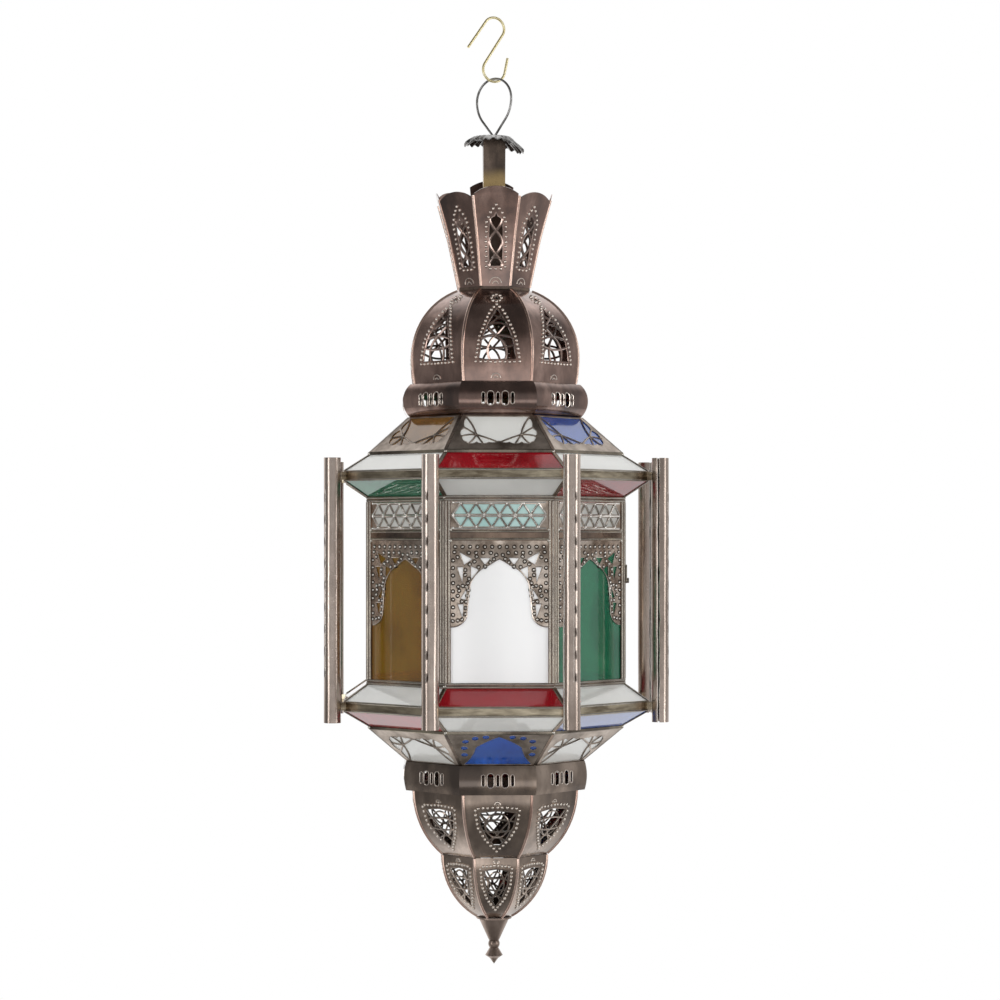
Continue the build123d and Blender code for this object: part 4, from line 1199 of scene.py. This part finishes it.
# %% Door frame lines
door_low = low("door_frame")
door_high = high("door_frame")
door_edge = door_half + 2.6
door_face = -96.9
door_lines = []
for side in (1, -1):
    across = side * door_edge
    door_lines.append([(across, door_face, door_low + 1), (across, door_face, door_high - 1)])
for level in (door_low + 1.8, door_high - 1.8, *bar_levels):
    door_lines.append([(-door_half, door_face, level), (door_half, door_face, level)])
door_leads = turned(polish_and_shade_mark(rods("door_leads", door_lines, 0.7), 0.45), [DOOR])
settle(join("door_lead_lines", door_leads), "door", "came_tin")

# %% [markdown]
# ## Drip cap
#
# The small cap on the stem is a disc of thin sheet whose rim was crimped with pliers, so it stands in
# uneven pleats and sits a little crooked, bent down at its sides. A circle is extruded inwards ring by
# ring, the rings are set to their heights, and the pleats grow from nothing at the flat crown to a few
# millimetres at the rim.

# %% Pleated drip cap
cap_top = high("drip_cap")
cap_pleats = 26
cap_sheet = 0.5
cap_flat = 12.8
cap_rings = [
    (23.2, 8.6), (22.0, 7.3), (20.4, 5.8), (18.4, 4.2), (16.4, 2.6), (14.6, 1.3),
    (cap_flat, 0.55), (9.0, 0.5), (3.2, 0.5),
]
cap_brim = cap_rings[0][0] - cap_flat
bpy.ops.mesh.primitive_circle_add(vertices=cap_pleats * 6, radius=cap_rings[0][0] * MM)
cap = bpy.context.object
bpy.ops.object.mode_set(mode="EDIT")
for outer_ring, inner_ring in zip(cap_rings, cap_rings[1:]):
    share = inner_ring[0] / outer_ring[0]
    bpy.ops.mesh.extrude_edges_move()
    bpy.ops.transform.resize(value=(share, share, 1.0))
bpy.ops.object.mode_set(mode="OBJECT")
for vertex in cap.data.vertices:
    reach = math.hypot(vertex.co.x, vertex.co.y) / MM
    ring = min(cap_rings, key=lambda pair: abs(pair[0] - reach))
    turn = math.atan2(vertex.co.y, vertex.co.x)
    outward = max(0.0, (ring[0] - cap_flat) / cap_brim)
    sway = noise.noise(Vector((math.cos(turn) * 2.3, math.sin(turn) * 2.3, 0.4)))
    pleat = math.sin(cap_pleats * turn + 2.4 * sway) * 0.85 * outward
    crooked = -0.105 * ring[0] * math.cos(turn + 0.2) * min(1.0, outward * 3)
    saddle = 0.5 + 0.5 * math.cos(turn) ** 2
    drop = ring[1] * saddle + 1.2 * sway * outward
    drawn_in = 1.0 - 0.05 * outward * (0.5 + 0.5 * math.sin(cap_pleats * turn * 0.5 + 5.0 * sway))
    height = min(cap_top - drop + pleat + crooked, cap_top - cap_sheet)
    vertex.co = (vertex.co.x * drawn_in, vertex.co.y * drawn_in, height * MM)
select_only(cap)
wall_of_cap = cap.modifiers.new("sheet", "SOLIDIFY")
wall_of_cap.thickness = cap_sheet * MM
wall_of_cap.offset = 0.0
bpy.ops.object.modifier_apply(modifier="sheet")
bpy.ops.object.mode_set(mode="EDIT")
bpy.ops.mesh.select_all(action="SELECT")
bpy.ops.mesh.normals_make_consistent(inside=False)
bpy.ops.object.mode_set(mode="OBJECT")
cap.name = "pleated_cap"
cap.data.name = "pleated_cap"
settle(cap, "lantern", "loop_steel", "drip_cap")

# %% [markdown]
# ## Finishes
#
# Every finish is made of shader nodes. To keep the sums readable, one small class wraps a socket:
# arithmetic on it adds Math nodes, and its node method adds any other kind. Patterns read Object
# coordinates, which are metres in the CAD frame, so a noise of scale 50 has clouds about 20 mm across.


# %% A socket that can be used in sums
class Mark:
    """One socket of a node tree. Sums on it add Math nodes."""

    def __init__(self, tree, socket=None):
        self.tree = tree
        self.socket = socket

    def feed(self, socket, value):
        """Link a mark to a node's socket, or set a plain value on it."""
        if isinstance(value, Mark):
            self.tree.links.new(value.socket, socket)
        else:
            socket.default_value = value

    def node(self, kind, settings=None, sockets=None, output=0):
        """Add a node of any kind: its settings first, then the values or links of its sockets."""
        made = self.tree.nodes.new("ShaderNode" + kind)
        for key, value in (settings or {}).items():
            if key == "stops":
                ramp = made.color_ramp
                while len(ramp.elements) < len(value):
                    ramp.elements.new(0.5)
                for stop, (position, colour) in zip(ramp.elements, value):
                    stop.position = position
                    stop.color = (*colour, 1.0)
            else:
                setattr(made, key, value)
        for key, value in (sockets or {}).items():
            self.feed(made.inputs[key], value)
        return Mark(self.tree, made.outputs[output])

    def sum(self, operation, first, second=0.0):
        """Add one Math node."""
        return self.node("Math", {"operation": operation}, {0: first, 1: second})

    def __add__(self, other):
        return self.sum("ADD", self, other)

    __radd__ = __add__

    def __sub__(self, other):
        return self.sum("SUBTRACT", self, other)

    def __rsub__(self, other):
        return self.sum("SUBTRACT", other, self)

    def __mul__(self, other):
        return self.sum("MULTIPLY", self, other)

    __rmul__ = __mul__

    def between(self, low_end, high_end):
        """0 below the low end, 1 above the high end, and smooth between them."""
        return self.node("MapRange", {"interpolation_type": "SMOOTHSTEP"},
                         {"Value": self, "From Min": low_end, "From Max": high_end})

    def blend(self, first, second):
        """The first colour where this mark is 0 and the second where it is 1."""
        return self.node("Mix", {"data_type": "RGBA"}, {0: self, 6: first, 7: second}, 2)

    def grain(self, scale, detail=3.0, roughness=0.55):
        """A noise on these coordinates, from 0 to 1."""
        sockets = {"Vector": self, "Scale": scale, "Detail": detail, "Roughness": roughness}
        return self.node("TexNoise", None, sockets)

    def stretched(self, x, y, z):
        """These coordinates, scaled along each axis."""
        return self.node("Mapping", None, {"Vector": self, "Scale": (x, y, z)})


print("a mark can:", sorted(step for step in vars(Mark) if not step.startswith("_")))


# %% A material to start from
def start(name):
    """A new material with its shader and its Object coordinates."""
    material = bpy.data.materials.new(name)
    material.use_nodes = True
    tree = material.node_tree
    shader = tree.nodes["Principled BSDF"]
    place = Mark(tree).node("TexCoord", None, None, "Object")
    return material, shader.inputs, place


def rgba(colour):
    """A colour with full opacity."""
    return (*colour, 1.0)


print("full white:", rgba((1.0, 1.0, 1.0)))

# %% [markdown]
# ### Metals
#
# The sheet is copper, darkened by heat and oil in slow clouds and rubbed bright on its high spots. A
# picture of worn metal could be wrapped round it, but noise needs no wrapping and never repeats. The beads,
# rims and bars carry a number for how far they are rubbed, and the finish reads it, so one material serves
# them and the sheet. A negative number paints a piece near black instead, as painted shade.


# %% Worn metal
def worn_metal(name, skin, body, glow, rubbed, smooth, rough,
               hammer=0.12, cloud=38.0, upright=0.35, lacquer=0.0, warm=None):
    """Metal with a dark skin in clouds, a warmer body, a heat-tinted glow, and rubbed high spots. A negative
    mark paints it near black as painted shade, and a warm band has painted shade below it.
    """
    material, shader, place = start(name)
    drifts = place.stretched(1.0, 1.0, upright).grain(cloud, 4.0, 0.6)
    specks = place.grain(420.0, 2.0)
    scuffs = place.stretched(1.0, 1.0, 0.12).grain(900.0, 2.0)
    tint = drifts.node("ValToRGB", {"stops": [(0.36, skin), (0.50, body), (0.66, glow)]}, {0: drifts})
    if warm:
        colour, high_end, low_end = warm
        height = place.node("SeparateXYZ", None, {0: place}, "Z") + 0.006 * drifts
        # Below the band the metal is painted its dark skin colour: painted shade where the stem goes down
        # into the crown.
        below = height.between(low_end - 0.008, low_end).blend(rgba(skin), rgba(colour))
        tint = height.between(high_end - 0.012, high_end).blend(below, tint)
    polish = place.node("Attribute", {"attribute_name": "polish"}, None, "Fac")
    worn = (polish * (0.8 + 0.3 * specks)).between(0.1, 0.9)
    # A negative mark paints the metal near black and rougher: painted shade in the grooves of the ring
    # punches, and a darker tone on the hip leads.
    darkening_and_painted_shade = (0.0 - polish).between(0.1, 0.9)
    bare = worn.blend(tint, rgba(rubbed))
    dirt = specks.between(0.60, 0.78) * 0.2
    grimy = dirt.blend(bare, rgba([c * 0.45 for c in body]))
    place.feed(shader["Base Color"], darkening_and_painted_shade.blend(grimy, rgba([c * 0.16 for c in body])))
    place.feed(shader["Roughness"], smooth + (rough - smooth) * (0.55 * specks + 0.45 * scuffs) + 0.3 * darkening_and_painted_shade)
    shader["Metallic"].default_value = 1.0
    shader["Coat Weight"].default_value = lacquer
    shader["Coat IOR"].default_value = 1.7
    shader["Coat Roughness"].default_value = 0.1
    dents = 0.6 * place.grain(75.0, 1.0) + 3.0 * place.grain(20.0, 1.0) + 0.04 * specks + 0.015 * scuffs
    bump = place.node("Bump", None, {"Strength": hammer, "Distance": 0.002, "Height": dents})
    place.feed(shader["Normal"], bump)
    return material


copper_sheet = worn_metal(
    "oxidised_copper", (0.11, 0.066, 0.053), (0.26, 0.155, 0.122), (0.58, 0.385, 0.320), (0.92, 0.81, 0.72),
    0.13, 0.28, 0.30, 26.0, 0.5, 0.9)
print(copper_sheet.name, "nodes:", len(copper_sheet.node_tree.nodes))

# %% The other metals
lower_copper = worn_metal(
    "lower_copper", (0.115, 0.080, 0.061), (0.25, 0.184, 0.140), (0.50, 0.390, 0.315), (0.90, 0.81, 0.72),
    0.15, 0.30, 0.24, 26.0, 0.5, 0.8)
copper_rib = worn_metal(
    "rubbed_copper", (0.50, 0.33, 0.27), (0.76, 0.55, 0.46), (0.90, 0.70, 0.60), (0.9, 0.75, 0.66),
    0.12, 0.26, 0.10)
fret_sheet = worn_metal(
    "tinned_fret", (0.26, 0.200, 0.158), (0.53, 0.440, 0.368), (0.77, 0.680, 0.605), (0.97, 0.94, 0.89),
    0.16, 0.34, 0.75, 60.0, 1.0)
came_tin = worn_metal(
    "lead_and_tin", (0.13, 0.105, 0.085), (0.30, 0.260, 0.21), (0.52, 0.455, 0.35), (0.84, 0.80, 0.73),
    0.14, 0.30, 0.15, 30.0, 0.4)
column_metal = worn_metal(
    "rolled_sheet", (0.27, 0.213, 0.180), (0.46, 0.380, 0.330), (0.68, 0.575, 0.510), (0.95, 0.90, 0.84),
    0.19, 0.32, 0.20, 26.0, 0.12)
dark_bronze = worn_metal(
    "dark_bronze", (0.10, 0.08, 0.07), (0.20, 0.15, 0.12), (0.36, 0.26, 0.20), (0.5, 0.38, 0.29),
    0.2, 0.38, 0.2)
# The stem is brass in a band above the crown, with painted shade below it.
stem_bronze = worn_metal(
    "stem_bronze", (0.11, 0.085, 0.07), (0.20, 0.15, 0.12), (0.32, 0.24, 0.19), (0.5, 0.38, 0.29),
    0.2, 0.38, 0.25, 60.0, 0.5, 0.0, ((0.56, 0.40, 0.19), -0.112, -0.138))
hook_brass = worn_metal(
    "hook_brass", (0.82, 0.70, 0.36), (0.92, 0.81, 0.48), (0.97, 0.90, 0.62), (0.97, 0.92, 0.70),
    0.32, 0.46, 0.05, 120.0, 1.0)
loop_steel = worn_metal(
    "loop_steel", (0.13, 0.125, 0.12), (0.32, 0.31, 0.30), (0.48, 0.47, 0.46), (0.6, 0.6, 0.6),
    0.22, 0.38, 0.12, 120.0, 1.0)
dull_fret = worn_metal(
    "dull_fret", (0.23, 0.185, 0.150), (0.42, 0.350, 0.295), (0.60, 0.515, 0.445), (0.85, 0.79, 0.72),
    0.24, 0.42, 0.4, 60.0, 1.0)
band_bronze = worn_metal(
    "band_bronze", (0.20, 0.16, 0.11), (0.40, 0.34, 0.25), (0.62, 0.54, 0.40), (0.80, 0.76, 0.68),
    0.14, 0.30, 0.15, 40.0, 5.0)
finial_copper = worn_metal(
    "finial_copper", (0.24, 0.18, 0.15), (0.40, 0.31, 0.26), (0.56, 0.44, 0.38), (0.8, 0.66, 0.56),
    0.32, 0.48, 0.2)
floor_sheet = worn_metal(
    "floor_sheet", (0.20, 0.18, 0.16), (0.34, 0.31, 0.28), (0.48, 0.44, 0.40), (0.7, 0.7, 0.7), 0.3, 0.5)
print("metals are mixed")

# %% [markdown]
# ### Glass
#
# The panes are rolled glass, a little wavy and milky. Clear glass would show the frets of the far wall
# sharply, which the real panes do not. So each colour is partly see-through and partly milky, under a
# smooth clear coat that keeps the sharp reflections.


# %% Coloured glass
def coloured_glass(name, tint, deep, through, frost, sheen=1.62):
    """Rolled glass: tinted right through, a little milky, with slow waves and a few darker clouds."""
    material, shader, place = start(name)
    clouds = place.grain(28.0, 3.0)
    place.feed(shader["Base Color"], clouds.between(0.42, 0.70).blend(rgba(tint), rgba(deep)))
    place.feed(shader["Roughness"], frost + 0.05 * place.grain(140.0, 2.0))
    shader["Transmission Weight"].default_value = through
    shader["IOR"].default_value = 1.46
    shader["Coat Weight"].default_value = 1.0
    shader["Coat IOR"].default_value = sheen
    shader["Coat Roughness"].default_value = 0.03
    waves = place.grain(26.0, 2.0) + 0.25 * place.grain(110.0, 2.0)
    bump = place.node("Bump", None, {"Strength": 0.12, "Distance": 0.002, "Height": waves})
    place.feed(shader["Normal"], bump)
    return material


glass = {
    "white": coloured_glass("white_glass", (0.90, 0.90, 0.865), (0.84, 0.84, 0.80), 0.4, 0.30),
    "opal": coloured_glass("opal_glass", (0.975, 0.975, 0.975), (0.955, 0.955, 0.96), 0.12, 0.30),
    "dusty": coloured_glass("dusty_glass", (0.74, 0.73, 0.69), (0.66, 0.65, 0.61), 0.4, 0.30),
    "blue": coloured_glass("blue_glass", (0.035, 0.15, 0.62), (0.02, 0.09, 0.48), 0.6, 0.06),
    "amber": coloured_glass("amber_glass", (0.40, 0.185, 0.02), (0.29, 0.125, 0.012), 0.7, 0.06),
    "red": coloured_glass("red_glass", (0.50, 0.003, 0.016), (0.36, 0.002, 0.010), 0.6, 0.08, 1.5),
    "green": coloured_glass("green_glass", (0.03, 0.36, 0.19), (0.02, 0.26, 0.14), 0.7, 0.06),
    "turquoise": coloured_glass("turquoise_glass", (0.68, 0.95, 0.91), (0.56, 0.88, 0.84), 0.4, 0.2),
}
print("glass colours:", sorted(glass))

# %% [markdown]
# ### Dressing
#
# Each CAD node and each new piece names a slot, and each slot has a finish. Going through the slots dresses
# everything in one loop. A few nodes that have the same slot but look different on the lantern then get a
# finish of their own.

# %% Give every shown node and piece its finish
finishes = {
    "copper_sheet": copper_sheet, "copper_rib": copper_rib, "fret_sheet": fret_sheet,
    "came_tin": came_tin, "column_sheet": column_metal, "dark_bronze": dark_bronze,
    "hook_brass": hook_brass, "loop_steel": loop_steel, "floor_sheet": floor_sheet,
    "hinge_metal": came_tin,
}
finishes.update({"glass_" + colour: material for colour, material in glass.items()})


def dress(obj, material):
    """Make this the only material of an object."""
    if not obj.material_slots:
        obj.data.materials.append(material)
    for slot in obj.material_slots:
        slot.material = material


slot_of_node = {part["node"]: part["material_slot"] for part in frame["record"]["subparts"]}
for name, obj in nodes.items():
    dress(obj, finishes[slot_of_node[name]])
for obj in bpy.context.scene.objects:
    if obj.type == "MESH" and obj.get("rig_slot"):
        dress(obj, finishes[obj["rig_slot"]])
own_finishes = {
    "main_panes_white": glass["opal"], "frieze_panes_white": glass["dusty"], "stem": stem_bronze,
    "upper_band": band_bronze, "lower_band": band_bronze, "lower_collar": lower_copper,
    "finial_cone": finial_copper, "finial_knob": finial_copper,
    "upper_cames": dark_bronze, "lower_cames": dark_bronze, "body_crossbars": dark_bronze,
    "body_posts": dark_bronze, "body_top_rail": dark_bronze, "body_bottom_rail": dark_bronze,
}
for name, material in own_finishes.items():
    dress(nodes[name], material)
for obj, material in (
    (roof_frets, dull_fret), (cone_frets, dull_fret), (bowl, lower_copper), (pendant, lower_copper),
):
    dress(obj, material)
print("dressed nodes:", len(nodes))

# %% [markdown]
# ## Studio
#
# The lantern hangs in front of a white backdrop in a room that is darker on the camera's side. A white
# backdrop lights the edges of bent metal and leaves its front dark, which is what makes the sheet look like
# metal. The world is plain white to the camera and through glass. Reflections find white behind, a grey
# wall on the right, a darker one on the left, a dim ceiling, a lighter patch round the camera, and a pale
# table low in front. Two tall soft lamps draw the long streaks on the columns.

# %% World
world = bpy.data.worlds.new("studio")
bpy.context.scene.world = world
world.use_nodes = True
tree = world.node_tree
backdrop = tree.nodes["Background"].inputs
air = Mark(tree).node("TexCoord", None, None, "Generated")
to_right, away, up = (air.node("SeparateXYZ", None, {0: air}, axis) for axis in "XYZ")
rays = Mark(tree)
seen = rays.node("LightPath", None, None, "Is Camera Ray")
through = rays.node("LightPath", None, None, "Is Transmission Ray")
mirrored_ray = rays.node("LightPath", None, None, "Is Glossy Ray")
facing = (0.0 - away).between(0.78, 0.98)
walls = 0.21 + 0.28 * to_right.between(0.25, 0.9) + 0.20 * facing
ceiling = 1.0 - 0.55 * up.between(0.15, 0.7)
table = (0.0 - away).between(0.35, 0.75) * up.between(-0.40, -0.28) * (1.0 - up.between(-0.18, -0.04))
front = walls * ceiling + 0.85 * table
behind = away.between(0.22, 0.60)
room = front + (1.0 - front) * behind
plain = 0.74 + 0.18 * up - 0.50 * away
open_view = seen.sum("MAXIMUM", seen, through)
light = plain + (room - plain) * mirrored_ray
rays.feed(backdrop["Strength"], light + (1.0 - light) * open_view)
backdrop["Color"].default_value = (1.0, 1.0, 1.0, 1.0)
print("world nodes:", len(tree.nodes))


# %% Lamps
def soft_lamp(name, spot, aim, width, height, power):
    """A soft box at a spot, turned towards a point."""
    lamp = bpy.data.lights.new(name, "AREA")
    lamp.shape = "RECTANGLE"
    lamp.size = width
    lamp.size_y = height
    lamp.energy = power
    holder = bpy.data.objects.new(name, lamp)
    holder.location = spot
    holder.rotation_euler = (Vector(aim) - Vector(spot)).to_track_quat("-Z", "Y").to_euler()
    bpy.context.scene.collection.objects.link(holder)


lamp_aim = (0.0, 0.0, -0.38)
for name, spot in (("left_box", (-1.7, -1.3, -0.2)), ("right_box", (1.8, -1.0, -0.2))):
    soft_lamp(name, spot, lamp_aim, 0.40, 1.7, 8.0)
print("lamps:", len(bpy.data.lights))

# %% Floor
floor_level = -2.0
bpy.ops.mesh.primitive_grid_add(x_subdivisions=8, y_subdivisions=8, size=8.0, location=(0, 0, floor_level))
ground = bpy.context.object
ground.name = "studio_floor"
bpy.ops.object.transform_apply(location=True)
pale, pale_shader, spot = start("pale_floor")
floor_tint = spot.grain(2.0).blend(rgba((0.86, 0.86, 0.86)), rgba((0.9, 0.9, 0.9)))
spot.feed(pale_shader["Base Color"], floor_tint)
pale_shader["Roughness"].default_value = 0.8
glow = spot.node("Emission", None, {"Strength": 1.0})
dusk = spot.node("Emission", None, {"Strength": 0.27})
seen_floor = spot.node("LightPath", None, None, "Is Camera Ray") * 0.8
glossy_floor = spot.node("LightPath", None, None, "Is Glossy Ray")
far_back = spot.node("SeparateXYZ", None, {0: spot}, "Y").between(0.35, 0.8)
surface = Mark(pale.node_tree, pale.node_tree.nodes["Principled BSDF"].outputs[0])
mixed = spot.node("MixShader", None, {0: seen_floor, 1: surface, 2: glow})
mixed = spot.node("MixShader", None, {0: glossy_floor * (1.0 - far_back), 1: mixed, 2: dusk})
mixed = spot.node("MixShader", None, {0: glossy_floor * far_back, 1: mixed, 2: glow})
spot.feed(pale.node_tree.nodes["Material Output"].inputs["Surface"], mixed)
dress(ground, pale)
bpy.context.scene.view_settings.view_transform = "Standard"
print("floor at", floor_level, "m")

# %% [markdown]
# ### The CAD model's bounds
#
# The dressing must not reach past the CAD model, which is what the joints and the clearances were worked
# out on.
